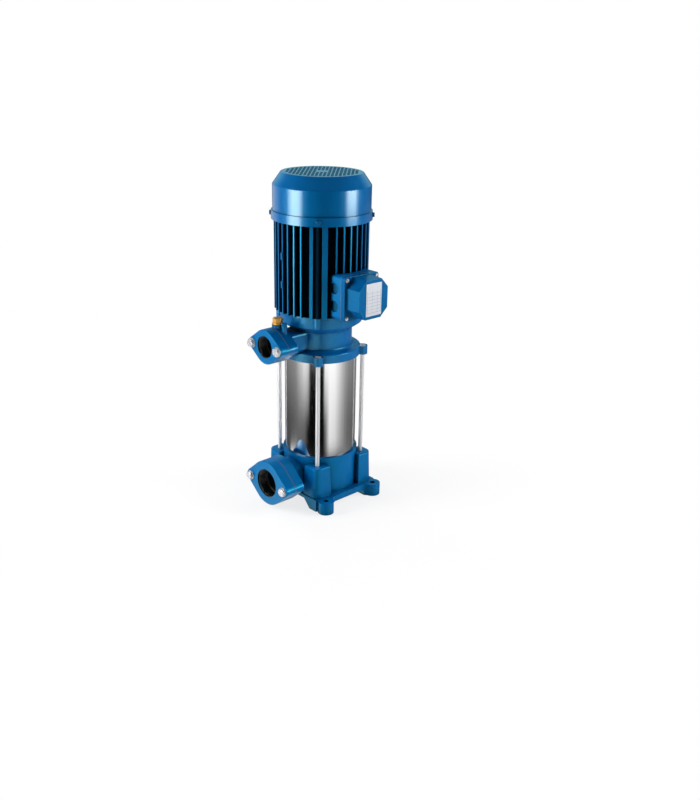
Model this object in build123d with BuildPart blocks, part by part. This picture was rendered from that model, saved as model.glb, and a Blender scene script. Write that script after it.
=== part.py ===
from build123d import *
import math
import os

# Vertical multistage pump. Millimetres, +Z up along the shaft, ports towards -Y, terminal box towards +X.
# The origin is the centre of the four foot bolts, on the ground.

# Fits and clearances
slide_fit = 0.05
press_fit = 0.02
running_gap = 0.4
seal_gap = 0.05
bolt_clearance = 0.5
blind_hole_extra = 2
root_sink = 1

# Foot plate
foot_spacing_x = 180
foot_spacing_y = 126
foot_hole_diameter = 11
foot_ear_radius = 15.5
foot_plate_thickness = 24
plate_half_x = 78
plate_half_y = 78
plate_side_half_x = 86
foot_web_half_width = 12
foot_blend_radius = 12
side_arch_height = 12
side_arch_half_length = 43
side_arch_corner = 10
front_arch_height = 17
front_arch_half_length = 58
front_arch_slope = 16

# Suction casing
casing_wall = 4
casing_rim_height = 98
casing_cavity_radius = 62
casing_floor_height = 21
pillar_rise = 3
pillar_inner_face = 36
pillar_corner_radius = 16
pillar_drop = 12
pillar_draft = 2
pillar_edge_radius = 2.5
seat_depth = 12

# Jacket and its seals
jacket_diameter = 140
jacket_wall = 2
jacket_length = 213
jacket_seal_thickness = 1.5
jacket_seal_width = 1.8

# Tie rods
rod_spacing = 115
rod_diameter = 8
rod_engagement = 24
rod_head_diameter = 13
rod_head_height = 8
rod_socket_size = 6
rod_socket_depth = 4
rod_washer_diameter = 16
rod_washer_thickness = 1.5

# Ports: both faces lie in one plane
port_face = 138
suction_height = 53
suction_thread_diameter = 56.6
suction_passage_diameter = 52
suction_bolt_spacing = 100
suction_ear_radius = 12.5
suction_centre_radius = 45
suction_counter_thickness = 22
suction_body_thickness = 20
suction_neck_radius = 36
discharge_rise = 37.4
discharge_thread_diameter = 42
discharge_passage_diameter = 38
discharge_bolt_spacing = 75
discharge_ear_radius = 11
discharge_centre_radius = 33
discharge_counter_thickness = 20
discharge_body_thickness = 19
port_gasket_thickness = 1
port_edge_radius = 1.6
port_bolt_diameter = 10
port_bolt_head_size = 16
port_bolt_head_height = 6.4
port_bolt_engagement = 15

# Pump head
head_flange_margin = 6.5
head_flange_thickness = 18
head_seat_depth = 8
head_chamber_radius = 50
head_neck_radius = 60
head_neck_height = 37
head_cone_height = 13
head_profile_radii = (1.2, 2.5, 5, 5, 2, 1)
head_lug_radius = 9.5
head_lug_drop = 1
head_lug_step = 2
head_counterbore_depth = 10
duct_half_width = 24
duct_height = 40
duct_corner_radius = 6
drum_radius = 79
drum_height = 22
drum_boss_rise = 2
drum_rim_width = 7
drum_recess_depth = 15
seal_web_depth = 33
seal_seat_depth = 6

# Stages
stage_count = 7
stage_pitch = 27
stage_wall = 3
stage_disc = 2
inlet_plate_thickness = 3
eye_radius = 21
impeller_radius = 55
impeller_eye_wall = 2
impeller_shroud = 1.5
impeller_channel = 7
impeller_lift = 2
impeller_blade_thickness = 1.6
impeller_blade_count = 6
impeller_blade_sweep = 62
hub_radius = 12.5
hub_length = 12
partition_thickness = 1.5
partition_radius = 60.5
return_vane_thickness = 1.8
return_vane_count = 6
return_vane_gap = 4
return_vane_sweep = -40
diffuser_vane_length = 7
diffuser_vane_count = 9
diffuser_vane_angle = 35
vane_bow = 0.62
spider_arm_count = 3
spider_arm_width = 5
spider_arm_reach = 36
spider_drop = 16
carrier_wall = 3.5
bush_length = 12
bush_wall = 4

# Shaft
shaft_end_length = 3.5
shaft_top_length = 2
shaft_chamfer = 1
pump_shaft_radius = 9
seal_shaft_radius = 11
rotor_shaft_radius = 15
fan_shaft_radius = 8.5
shaft_nut_size = 24
shaft_nut_height = 8
sleeve_wall = 3
sleeve_length = 22
seal_head_length = 15
seal_head_radius = 17
seal_head_step = 2.5
seal_seat_radius = 20

# Motor bearings
lower_bearing_bore = 25
lower_bearing_outside = 52
lower_bearing_width = 15
upper_bearing_bore = 20
upper_bearing_outside = 47
upper_bearing_width = 14
bearing_ring_wall = 4
bearing_shield_thickness = 0.8
bearing_wall = 5
bearing_shoulder_gap = 1
lower_bearing_drop = 1
upper_bearing_drop = 5

# Motor frame
frame_height = 172
frame_bore_radius = 66
frame_wall = 7
fin_tip_radius = 89
fin_thickness = 2.6
fin_pitch_angle = 9.5
fin_count_per_side = 6
narrow_rib_angle = 36.5
narrow_rib_width = 6
wide_rib_angle = 52.5
wide_rib_width = 10
tie_bolt_angle = 43.5
tie_bolt_circle_radius = 79
tie_bolt_diameter = 6
tie_bolt_engagement = 16
tie_bolt_head_size = 10
tie_bolt_head_height = 4
tie_bolt_boss_radius = 7
fin_pad_width = 4.5
fin_pad_height = 13
fin_pad_depth = 3
fin_pad_rises = (56, 109)

# Motor windings and rotor
core_height = 100
core_start = 26
stator_bore_radius = 40
stator_slot_count = 24
stator_slot_depth = 12
stator_slot_width = 5
winding_overhang = 16
winding_clearance = 0.2
winding_bore_gap = 1
air_gap = 0.5
cage_ring_height = 9
cage_ring_width = 14

# Fan end
end_shield_thickness = 8
end_shield_rim_width = 5.5
cover_band_radius = 94
cover_band_height = 16
cover_wall = 2
cover_radius = 91.4
cover_barrel_height = 46
cover_cone_height = 22.4
cover_top_radius = 75.8
cover_shoulder_fillet = 3
grille_pitch = 7
grille_hole = 5
grille_radius = 68
grille_hub_radius = 13
cover_screw_diameter = 5
cover_screw_head_diameter = 10
cover_screw_head_height = 3.4
cover_screw_length = 8
cover_overlap = 2
fan_hub_radius = 16
fan_hub_height = 26
fan_disc_radius = 50
fan_disc_thickness = 2.5
fan_blade_radius = 72
fan_blade_height = 24
fan_blade_thickness = 2.2
fan_blade_count = 8
fan_clearance = 14

# Terminal box
terminal_reach = 11.4
terminal_half_width = 42
terminal_rise = 2
terminal_height = 82
terminal_wall = 5
terminal_floor_gap = 2
terminal_cavity_corner = 12
lead_hole_radius = 5
lead_hole_drop = 29
terminal_corner_radius = 6
terminal_gasket_thickness = 1
lid_plate_thickness = 9
lid_depth = 31.6
lid_half_width = 37
lid_height = 75
lid_rise = 1.5
lid_corner_y = 18
lid_corner_z = 17
lid_wall = 3
lid_taper = 3
lid_screw_half_spacing = 36
lid_screw_edge = 6
lid_screw_diameter = 4
lid_screw_head_diameter = 8
lid_screw_head_height = 3
lid_screw_length = 20
knockout_diameter = 21
knockout_depth = 2.5
knockout_depth_back = 17.4
knockout_spacing = 33
nameplate_width = 38
nameplate_height = 60
nameplate_thickness = 0.8
board_depth = 8
board_width = 44
board_height = 46
board_rib_width = 4
stud_diameter = 5
stud_length = 14
stud_spacing = 14
stud_nut_size = 8
stud_nut_height = 3.5
capacitor_diameter = 30
capacitor_length = 56
capacitor_edge_radius = 1.5
strap_wall = 1.5
strap_width = 14

# Plugs
plug_thread_diameter = 16.6
plug_thread_length = 12
plug_hex_size = 17
plug_hex_height = 9
plug_flange_diameter = 21
plug_flange_height = 2
plug_washer_thickness = 1.5
plug_boss_radius = 11
boss_setback = 0.5
priming_boss_rise = 37.6
priming_x = -1
drain_height = 44
drain_boss_projection = 6
gauge_x = 18
gauge_thread_diameter = 7
gauge_hex_size = 9
gauge_hex_height = 5
gauge_boss_radius = 5.5
gauge_thread_length = 8
gauge_boss_rise = 38.6

os.makedirs("parts", exist_ok=True)


def port_plane(distance, height):
    """A plane across a port's bore, at a distance from the shaft, looking out along -Y."""
    return Plane(origin=(0, -distance, height), x_dir=(1, 0, 0), z_dir=(0, -1, 0))


def box_plane(distance, height):
    """A plane across the terminal box, at a distance from the shaft, looking out along +X."""
    return Plane(origin=(distance, 0, height), x_dir=(0, 1, 0), z_dir=(1, 0, 0))


def radial_plane(angle, distance, height):
    """A plane square to a radius, the angle counted from -Y towards +X, looking outwards."""
    turn = math.radians(angle)
    outwards = (math.sin(turn), -math.cos(turn), 0)
    sideways = (math.cos(turn), math.sin(turn), 0)
    origin = (distance * outwards[0], distance * outwards[1], height)
    return Plane(origin=origin, x_dir=sideways, z_dir=outwards)


def around_shaft(radius, angle):
    """The point at a radius from the shaft, the angle counted from -Y towards +X."""
    turn = math.radians(angle)
    return (radius * math.sin(turn), -radius * math.cos(turn))


def oval_outline(bolt_spacing, ear_radius, centre_radius):
    """The outline of a two-bolt oval flange: two ears joined to a round centre by tangents."""
    with BuildSketch() as outline:
        Circle(centre_radius)
        with Locations((-bolt_spacing / 2, 0), (bolt_spacing / 2, 0)):
            Circle(ear_radius)
        make_hull()
    return outline.sketch


def curved_vane(inner_radius, outer_radius, sweep_angle, thickness):
    """The outline of one vane that sweeps back as it goes out."""
    middle_radius = (inner_radius + outer_radius) / 2
    start = around_shaft(inner_radius, 0)
    middle = around_shaft(middle_radius, sweep_angle * vane_bow)
    end = around_shaft(outer_radius, sweep_angle)
    with BuildSketch() as vane:
        with BuildLine():
            ThreePointArc(start, middle, end)
        trace(line_width=thickness)
    return vane.sketch


def save(piece, name):
    """Label one piece and write it."""
    piece.part.label = name
    export_step(piece.part, f"parts/{name}.step")


rod_half_spacing = rod_spacing / 2
jacket_radius = jacket_diameter / 2
casing_radius = jacket_radius + casing_wall
pillar_outer_face = casing_radius + pillar_rise
pillar_top_height = casing_rim_height - pillar_drop
seat_height = casing_rim_height - seat_depth
head_seat_height = seat_height + 2 * jacket_seal_thickness + jacket_length
head_bottom_height = head_seat_height - head_seat_depth
head_flange_radius = jacket_radius + head_flange_margin
head_flange_top = head_bottom_height + head_flange_thickness
head_lug_top_height = head_flange_top - head_lug_step
head_neck_top_height = head_flange_top + head_neck_height
drum_bottom_height = head_neck_top_height + head_cone_height
drum_top_height = drum_bottom_height + drum_height
seal_web_height = drum_top_height - seal_web_depth
discharge_height = head_bottom_height + discharge_rise
drain_boss_face = casing_radius + drain_boss_projection
jacket_inner_radius = jacket_radius - jacket_wall
stack_radius = jacket_inner_radius - bolt_clearance
seat_radius = jacket_radius + slide_fit
first_stage_height = seat_height + inlet_plate_thickness
stack_top_height = first_stage_height + stage_count * stage_pitch
suction_joint = port_face - suction_counter_thickness
suction_body_face = suction_joint - port_gasket_thickness
suction_body_back = suction_body_face - suction_body_thickness
discharge_joint = port_face - discharge_counter_thickness
discharge_body_face = discharge_joint - port_gasket_thickness
discharge_body_back = discharge_body_face - discharge_body_thickness
tapping_y = plug_boss_radius + boss_setback - discharge_body_face
priming_boss_height = discharge_height + priming_boss_rise
gauge_boss_height = discharge_height + gauge_boss_rise
suction_outline = oval_outline(suction_bolt_spacing, suction_ear_radius, suction_centre_radius)
discharge_outline = oval_outline(discharge_bolt_spacing, discharge_ear_radius, discharge_centre_radius)
port_bolt_radius = port_bolt_diameter / 2

# Suction casing: pillars, cup, foot plate with arches, and the body flange of the suction port
with BuildPart() as suction_casing:
    with BuildSketch():
        RectangleRounded(2 * pillar_outer_face, 2 * pillar_outer_face, pillar_corner_radius)
        Rectangle(2 * pillar_inner_face, 3 * pillar_outer_face, mode=Mode.SUBTRACT)
        Rectangle(3 * pillar_outer_face, 2 * pillar_inner_face, mode=Mode.SUBTRACT)
    extrude(amount=pillar_top_height, taper=pillar_draft)
    fillet(suction_casing.edges().group_by(Axis.Z)[-1], radius=pillar_edge_radius)
    with BuildSketch() as plate_outline:
        Rectangle(2 * plate_half_x, 2 * plate_half_y)
        Rectangle(2 * plate_side_half_x, foot_spacing_y)
        with GridLocations(0, foot_spacing_y, 1, 2):
            Rectangle(foot_spacing_x, 2 * foot_web_half_width)
        with GridLocations(foot_spacing_x, foot_spacing_y, 2, 2):
            Circle(foot_ear_radius)
        ear_corners = [
            corner
            for corner in plate_outline.vertices()
            if abs(corner.Y) < foot_spacing_y / 2 - foot_web_half_width and abs(corner.X) > plate_half_x
        ]
        fillet(ear_corners, radius=foot_blend_radius)
    extrude(amount=foot_plate_thickness)
    with BuildSketch():
        Circle(casing_radius)
    extrude(amount=casing_rim_height)
    with BuildSketch(port_plane(suction_body_face, suction_height)):
        add(suction_outline)
    extrude(amount=-suction_body_thickness)
    with BuildSketch(port_plane(suction_body_back, suction_height)):
        Circle(suction_neck_radius)
    extrude(amount=casing_cavity_radius - suction_body_back)
    with BuildSketch(port_plane(-drain_boss_face, drain_height)):
        Circle(plug_boss_radius)
    extrude(amount=drain_boss_face - casing_cavity_radius)
    with BuildSketch(Plane.YZ):
        RectangleRounded(2 * side_arch_half_length, 2 * side_arch_height, side_arch_corner)
    extrude(amount=foot_spacing_x, both=True, mode=Mode.SUBTRACT)
    with BuildSketch(Plane.XZ):
        with BuildLine():
            Polyline(
                (-front_arch_half_length, 0),
                (front_arch_half_length, 0),
                (front_arch_half_length - front_arch_slope, front_arch_height),
                (-front_arch_half_length + front_arch_slope, front_arch_height),
                close=True,
            )
        make_face()
    extrude(amount=foot_spacing_y, both=True, mode=Mode.SUBTRACT)
    with BuildSketch(Plane.XY.offset(casing_floor_height)):
        Circle(casing_cavity_radius)
    extrude(amount=casing_rim_height - casing_floor_height, mode=Mode.SUBTRACT)
    with BuildSketch(Plane.XY.offset(seat_height)):
        Circle(seat_radius)
    extrude(amount=casing_rim_height - seat_height, mode=Mode.SUBTRACT)
    with BuildSketch(port_plane(suction_body_face, suction_height)):
        Circle(suction_passage_diameter / 2)
    extrude(amount=-suction_body_face, mode=Mode.SUBTRACT)
    with BuildSketch(port_plane(suction_body_face, suction_height)):
        with GridLocations(suction_bolt_spacing, 0, 2, 1):
            Circle(port_bolt_radius + slide_fit)
    extrude(amount=-(port_bolt_engagement + blind_hole_extra), mode=Mode.SUBTRACT)
    with BuildSketch(Plane.XY.offset(foot_plate_thickness)):
        with GridLocations(foot_spacing_x, foot_spacing_y, 2, 2):
            Circle(foot_hole_diameter / 2)
    extrude(amount=-foot_plate_thickness, mode=Mode.SUBTRACT)
    with BuildSketch(Plane.XY.offset(pillar_top_height)):
        with GridLocations(rod_spacing, rod_spacing, 2, 2):
            Circle(rod_diameter / 2 + slide_fit)
    extrude(amount=-(rod_engagement + blind_hole_extra), mode=Mode.SUBTRACT)
    with BuildSketch(port_plane(-drain_boss_face, drain_height)):
        Circle(plug_thread_diameter / 2 + slide_fit)
    extrude(amount=drain_boss_face - casing_cavity_radius + blind_hole_extra, mode=Mode.SUBTRACT)
save(suction_casing, "suction_casing")

# Each port: flat gasket, counter flange and two hexagon bolts
ports = {
    "suction": (
        suction_height,
        suction_outline,
        suction_bolt_spacing,
        suction_thread_diameter / 2,
        suction_passage_diameter / 2,
        suction_counter_thickness,
    ),
    "discharge": (
        discharge_height,
        discharge_outline,
        discharge_bolt_spacing,
        discharge_thread_diameter / 2,
        discharge_passage_diameter / 2,
        discharge_counter_thickness,
    ),
}
for port, (height, outline, spacing, thread_radius, passage_radius, thickness) in ports.items():
    with BuildPart() as port_gasket:
        with BuildSketch(port_plane(port_face - thickness, height)):
            add(outline)
            Circle(passage_radius + port_gasket_thickness, mode=Mode.SUBTRACT)
            with GridLocations(spacing, 0, 2, 1):
                Circle(port_bolt_radius + bolt_clearance, mode=Mode.SUBTRACT)
        extrude(amount=-port_gasket_thickness)
    save(port_gasket, f"{port}_gasket")

    with BuildPart() as counter_flange:
        with BuildSketch(port_plane(port_face, height)):
            add(outline)
        extrude(amount=-thickness)
        fillet(counter_flange.edges().group_by(Axis.Y)[0], radius=port_edge_radius)
        with BuildSketch(port_plane(port_face, height)):
            Circle(thread_radius)
            with GridLocations(spacing, 0, 2, 1):
                Circle(port_bolt_radius + bolt_clearance)
        extrude(amount=-thickness, mode=Mode.SUBTRACT)
    save(counter_flange, f"{port}_counter_flange")

    with BuildPart() as flange_bolts:
        with BuildSketch(port_plane(port_face, height)):
            with GridLocations(spacing, 0, 2, 1):
                RegularPolygon(port_bolt_head_size / 2, 6, major_radius=False)
        extrude(amount=port_bolt_head_height)
        with BuildSketch(port_plane(port_face, height)):
            with GridLocations(spacing, 0, 2, 1):
                Circle(port_bolt_radius)
        extrude(amount=-(thickness + port_gasket_thickness + port_bolt_engagement))
    save(flange_bolts, f"{port}_flange_bolts")

# Jacket tube and the flat seal rings at its two ends
with BuildPart() as outer_jacket:
    with BuildSketch(Plane.XY.offset(seat_height + jacket_seal_thickness)):
        Circle(jacket_radius)
        Circle(jacket_inner_radius, mode=Mode.SUBTRACT)
    extrude(amount=head_seat_height - seat_height - 2 * jacket_seal_thickness)
save(outer_jacket, "outer_jacket")

with BuildPart() as jacket_seals:
    for height in (seat_height, head_seat_height - jacket_seal_thickness):
        with BuildSketch(Plane.XY.offset(height)):
            Circle(jacket_radius)
            Circle(jacket_radius - jacket_seal_width, mode=Mode.SUBTRACT)
        extrude(amount=jacket_seal_thickness)
save(jacket_seals, "jacket_seals")

# Four tie rods with socket heads sunk in the lugs of the head, and their washers
rod_radius = rod_diameter / 2
rod_washer_height = head_lug_top_height - head_counterbore_depth
rod_head_seat = rod_washer_height + rod_washer_thickness
with BuildPart() as tie_rods:
    with BuildSketch(Plane.XY.offset(pillar_top_height - rod_engagement)):
        with GridLocations(rod_spacing, rod_spacing, 2, 2):
            Circle(rod_radius)
    extrude(amount=rod_head_seat - pillar_top_height + rod_engagement)
    with BuildSketch(Plane.XY.offset(rod_head_seat)):
        with GridLocations(rod_spacing, rod_spacing, 2, 2):
            Circle(rod_head_diameter / 2)
    extrude(amount=rod_head_height)
    with BuildSketch(Plane.XY.offset(rod_head_seat + rod_head_height)):
        with GridLocations(rod_spacing, rod_spacing, 2, 2):
            RegularPolygon(rod_socket_size / 2, 6, major_radius=False)
    extrude(amount=-rod_socket_depth, mode=Mode.SUBTRACT)
save(tie_rods, "tie_rods")

with BuildPart() as tie_rod_washers:
    with BuildSketch(Plane.XY.offset(rod_washer_height)):
        with GridLocations(rod_spacing, rod_spacing, 2, 2):
            Circle(rod_washer_diameter / 2)
            Circle(rod_radius + bolt_clearance, mode=Mode.SUBTRACT)
    extrude(amount=rod_washer_thickness)
save(tie_rod_washers, "tie_rod_washers")

# Pump head: flange with four lugs, neck, discharge duct with its body flange, and the drum under the motor
tie_bolt_angles = (tie_bolt_angle, -tie_bolt_angle, 180 - tie_bolt_angle, 180 + tie_bolt_angle)
tie_bolt_points = [around_shaft(tie_bolt_circle_radius, angle) for angle in tie_bolt_angles]
lower_bearing_height = drum_top_height - lower_bearing_width - lower_bearing_drop
with BuildPart() as pump_head:
    with BuildSketch(Plane.XZ):
        with BuildLine():
            FilletPolyline(
                (0, head_bottom_height),
                (head_flange_radius, head_bottom_height),
                (head_flange_radius, head_flange_top),
                (head_neck_radius, head_flange_top),
                (head_neck_radius, head_neck_top_height),
                (drum_radius, drum_bottom_height),
                (drum_radius, drum_top_height),
                (0, drum_top_height),
                radius=head_profile_radii,
            )
            Line((0, drum_top_height), (0, head_bottom_height))
        make_face()
    revolve(axis=Axis.Z)
    with BuildSketch(Plane.XY.offset(head_bottom_height - head_lug_drop)):
        with GridLocations(rod_spacing, rod_spacing, 2, 2):
            Circle(head_lug_radius)
    extrude(amount=head_lug_top_height - head_bottom_height + head_lug_drop)
    with BuildSketch(Plane.XY.offset(head_bottom_height)):
        with PolarLocations((head_neck_radius + rod_half_spacing * 2**0.5) / 2, 4, start_angle=45):
            Rectangle(rod_half_spacing * 2**0.5 - head_neck_radius, 2 * head_lug_radius)
    extrude(amount=head_lug_top_height - head_bottom_height)
    with BuildSketch(Plane.XY.offset(drum_bottom_height + drum_boss_rise)):
        with Locations(*tie_bolt_points):
            Circle(tie_bolt_boss_radius)
    extrude(amount=drum_height - drum_boss_rise)
    with BuildSketch(port_plane(discharge_body_back, discharge_height)):
        RectangleRounded(2 * duct_half_width, duct_height, duct_corner_radius)
    extrude(amount=head_chamber_radius - discharge_body_back)
    with BuildSketch(port_plane(discharge_body_face, discharge_height)):
        add(discharge_outline)
    extrude(amount=-discharge_body_thickness)
    with BuildSketch(Plane.XY.offset(discharge_height)):
        with Locations((priming_x, tapping_y)):
            Circle(plug_boss_radius)
    extrude(amount=priming_boss_height - discharge_height)
    with BuildSketch(Plane.XY.offset(discharge_height)):
        with Locations((gauge_x, tapping_y)):
            Circle(gauge_boss_radius)
    extrude(amount=gauge_boss_height - discharge_height)
    with BuildSketch(Plane.XY.offset(head_bottom_height)):
        Circle(seat_radius)
    extrude(amount=head_seat_depth, mode=Mode.SUBTRACT)
    with BuildSketch(Plane.XY.offset(head_seat_height)):
        Circle(head_chamber_radius)
    extrude(amount=seal_web_height - head_seat_height, mode=Mode.SUBTRACT)
    with BuildSketch(Plane.XY.offset(seal_web_height)):
        Circle(seal_seat_radius + slide_fit)
    extrude(amount=seal_seat_depth, mode=Mode.SUBTRACT)
    with BuildSketch(Plane.XY.offset(seal_web_height)):
        Circle(lower_bearing_bore / 2 + bearing_ring_wall + bearing_shoulder_gap)
    extrude(amount=drum_top_height - seal_web_height, mode=Mode.SUBTRACT)
    with BuildSketch(Plane.XY.offset(lower_bearing_height)):
        Circle(lower_bearing_outside / 2)
    extrude(amount=drum_top_height - lower_bearing_height, mode=Mode.SUBTRACT)
    with BuildSketch(Plane.XY.offset(drum_top_height)):
        Circle(drum_radius - drum_rim_width)
        Circle(lower_bearing_outside / 2 + bearing_wall, mode=Mode.SUBTRACT)
    extrude(amount=-drum_recess_depth, mode=Mode.SUBTRACT)
    with BuildSketch(port_plane(discharge_body_face, discharge_height)):
        Circle(discharge_passage_diameter / 2)
    extrude(amount=head_chamber_radius / 2 - discharge_body_face, mode=Mode.SUBTRACT)
    with BuildSketch(port_plane(discharge_body_face, discharge_height)):
        with GridLocations(discharge_bolt_spacing, 0, 2, 1):
            Circle(port_bolt_radius + slide_fit)
    extrude(amount=-(port_bolt_engagement + blind_hole_extra), mode=Mode.SUBTRACT)
    with BuildSketch(Plane.XY.offset(head_lug_top_height)):
        with GridLocations(rod_spacing, rod_spacing, 2, 2):
            Circle(rod_radius + bolt_clearance)
    extrude(amount=-(head_lug_top_height - head_bottom_height + head_lug_drop), mode=Mode.SUBTRACT)
    with BuildSketch(Plane.XY.offset(head_flange_top)):
        with GridLocations(rod_spacing, rod_spacing, 2, 2):
            Circle(rod_washer_diameter / 2 + bolt_clearance)
    extrude(amount=rod_washer_height - head_flange_top, mode=Mode.SUBTRACT)
    with BuildSketch(Plane.XY.offset(drum_top_height)):
        with Locations(*tie_bolt_points):
            Circle(tie_bolt_diameter / 2 + slide_fit)
    extrude(amount=-(tie_bolt_engagement + blind_hole_extra), mode=Mode.SUBTRACT)
    with BuildSketch(Plane.XY.offset(priming_boss_height)):
        with Locations((priming_x, tapping_y)):
            Circle(plug_thread_diameter / 2 + slide_fit)
    extrude(amount=discharge_height - priming_boss_height, mode=Mode.SUBTRACT)
    with BuildSketch(Plane.XY.offset(gauge_boss_height)):
        with Locations((gauge_x, tapping_y)):
            Circle(gauge_thread_diameter / 2 + slide_fit)
    extrude(amount=-(gauge_thread_length + blind_hole_extra), mode=Mode.SUBTRACT)
save(pump_head, "pump_head")

# Stages: inlet plate with its spider and bush, the bowls with their vanes, and the ring on top of the stack
sleeve_radius = pump_shaft_radius + slide_fit + sleeve_wall
bush_radius = sleeve_radius + slide_fit + bush_wall
carrier_radius = bush_radius + carrier_wall
carrier_height = seat_height - spider_drop
with BuildPart() as inlet_plate:
    with BuildSketch(Plane.XY.offset(seat_height)):
        Circle(stack_radius)
        Circle(eye_radius, mode=Mode.SUBTRACT)
    extrude(amount=inlet_plate_thickness)
    with BuildSketch(Plane.XY.offset(carrier_height)):
        with PolarLocations((bush_radius + spider_arm_reach) / 2, spider_arm_count, start_angle=30):
            Rectangle(spider_arm_reach - bush_radius, spider_arm_width)
        Circle(bush_radius, mode=Mode.SUBTRACT)
    extrude(amount=spider_drop)
    with BuildSketch(Plane.XY.offset(carrier_height + bush_length)):
        Circle(eye_radius)
    extrude(amount=seat_height - carrier_height - bush_length, mode=Mode.SUBTRACT)
    with BuildSketch(Plane.XY.offset(carrier_height)):
        Circle(carrier_radius)
        Circle(bush_radius, mode=Mode.SUBTRACT)
    extrude(amount=bush_length)
save(inlet_plate, "inlet_plate")

with BuildPart() as bottom_bush:
    with BuildSketch(Plane.XY.offset(carrier_height)):
        Circle(bush_radius)
        Circle(sleeve_radius + slide_fit, mode=Mode.SUBTRACT)
    extrude(amount=bush_length)
save(bottom_bush, "bottom_bush")

hub_bottom_height = first_stage_height + impeller_shroud
channel_bottom = impeller_lift + impeller_shroud
partition_height = channel_bottom + impeller_channel + impeller_shroud + impeller_lift
partition_top = partition_height + partition_thickness
disc_height = stage_pitch - stage_disc
bowl_inner_radius = stack_radius - stage_wall
return_vane = curved_vane(
    eye_radius + return_vane_gap, bowl_inner_radius + root_sink, return_vane_sweep, return_vane_thickness
)
with BuildPart() as bowl_pattern:
    with BuildSketch(Plane.XY.offset(first_stage_height)):
        Circle(stack_radius)
        Circle(bowl_inner_radius, mode=Mode.SUBTRACT)
    extrude(amount=stage_pitch)
    with BuildSketch(Plane.XY.offset(first_stage_height + disc_height)):
        Circle(stack_radius)
        Circle(eye_radius, mode=Mode.SUBTRACT)
    extrude(amount=stage_disc)
    with BuildSketch(Plane.XY.offset(first_stage_height + partition_height)):
        Circle(partition_radius)
        Circle(hub_radius + running_gap, mode=Mode.SUBTRACT)
    extrude(amount=partition_thickness)
    with BuildSketch(Plane.XY.offset(first_stage_height + partition_top)):
        with PolarLocations(0, return_vane_count):
            add(return_vane)
    extrude(amount=disc_height - partition_top)
    with BuildSketch(Plane.XY.offset(first_stage_height + impeller_lift)):
        with PolarLocations(bowl_inner_radius + root_sink - diffuser_vane_length / 2, diffuser_vane_count):
            Rectangle(diffuser_vane_length, return_vane_thickness, rotation=diffuser_vane_angle)
        Circle(impeller_radius + impeller_lift, mode=Mode.SUBTRACT)
    extrude(amount=partition_height - impeller_lift)

blade = curved_vane(
    eye_radius - running_gap,
    impeller_radius - impeller_blade_thickness,
    impeller_blade_sweep,
    impeller_blade_thickness,
)
with BuildPart() as impeller_pattern:
    with BuildSketch(Plane.XY.offset(first_stage_height + impeller_lift)):
        Circle(impeller_radius)
        Circle(eye_radius - running_gap - impeller_eye_wall, mode=Mode.SUBTRACT)
    extrude(amount=impeller_shroud)
    with BuildSketch(Plane.XY.offset(first_stage_height - stage_disc / 2)):
        Circle(eye_radius - running_gap)
        Circle(eye_radius - running_gap - impeller_eye_wall, mode=Mode.SUBTRACT)
    extrude(amount=stage_disc / 2 + impeller_lift)
    with BuildSketch(Plane.XY.offset(first_stage_height + channel_bottom)):
        with PolarLocations(0, impeller_blade_count):
            add(blade)
    extrude(amount=impeller_channel)
    with BuildSketch(Plane.XY.offset(first_stage_height + channel_bottom + impeller_channel)):
        Circle(impeller_radius)
    extrude(amount=impeller_shroud)
    with BuildSketch(Plane.XY.offset(hub_bottom_height)):
        Circle(hub_radius)
    extrude(amount=hub_length)
    with BuildSketch(Plane.XY.offset(hub_bottom_height)):
        Circle(pump_shaft_radius + slide_fit)
    extrude(amount=hub_length, mode=Mode.SUBTRACT)

for stage in range(stage_count):
    with BuildPart() as stage_bowl:
        with Locations((0, 0, stage * stage_pitch)):
            add(bowl_pattern.part)
    save(stage_bowl, f"stage_bowl_{stage + 1}")

    with BuildPart() as impeller:
        with Locations((0, 0, stage * stage_pitch)):
            add(impeller_pattern.part)
    save(impeller, f"impeller_{stage + 1}")

with BuildPart() as stage_spacers:
    for stage in range(stage_count):
        with BuildSketch(Plane.XY.offset(hub_bottom_height + hub_length + stage * stage_pitch)):
            Circle(hub_radius)
            Circle(pump_shaft_radius + slide_fit, mode=Mode.SUBTRACT)
        extrude(amount=stage_pitch - hub_length)
save(stage_spacers, "stage_spacers")

with BuildPart() as stack_ring:
    with BuildSketch(Plane.XY.offset(stack_top_height)):
        Circle(stack_radius)
        Circle(bowl_inner_radius, mode=Mode.SUBTRACT)
    extrude(amount=head_seat_height - stack_top_height)
save(stack_ring, "stack_ring")

# Shaft in one length through pump and motor, with the nut and sleeve at its lower end
frame_top_height = drum_top_height + frame_height
upper_bearing_height = frame_top_height - upper_bearing_drop
upper_bearing_top = upper_bearing_height + upper_bearing_width
stage_shoulder = hub_bottom_height + stage_count * stage_pitch
sleeve_bottom = hub_bottom_height - sleeve_length
end_shield_rim_height = cover_band_height - cover_overlap - cover_wall - bolt_clearance
end_shield_top = frame_top_height + end_shield_rim_height
fan_bottom_height = end_shield_top + fan_clearance
shaft_steps = (
    (sleeve_bottom - shaft_nut_height - shaft_end_length, pump_shaft_radius),
    (stage_shoulder, seal_shaft_radius),
    (lower_bearing_height, lower_bearing_bore / 2),
    (lower_bearing_height + lower_bearing_width, rotor_shaft_radius),
    (upper_bearing_height, upper_bearing_bore / 2),
    (upper_bearing_top, fan_shaft_radius),
    (fan_bottom_height + fan_hub_height + shaft_top_length, 0),
)
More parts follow.
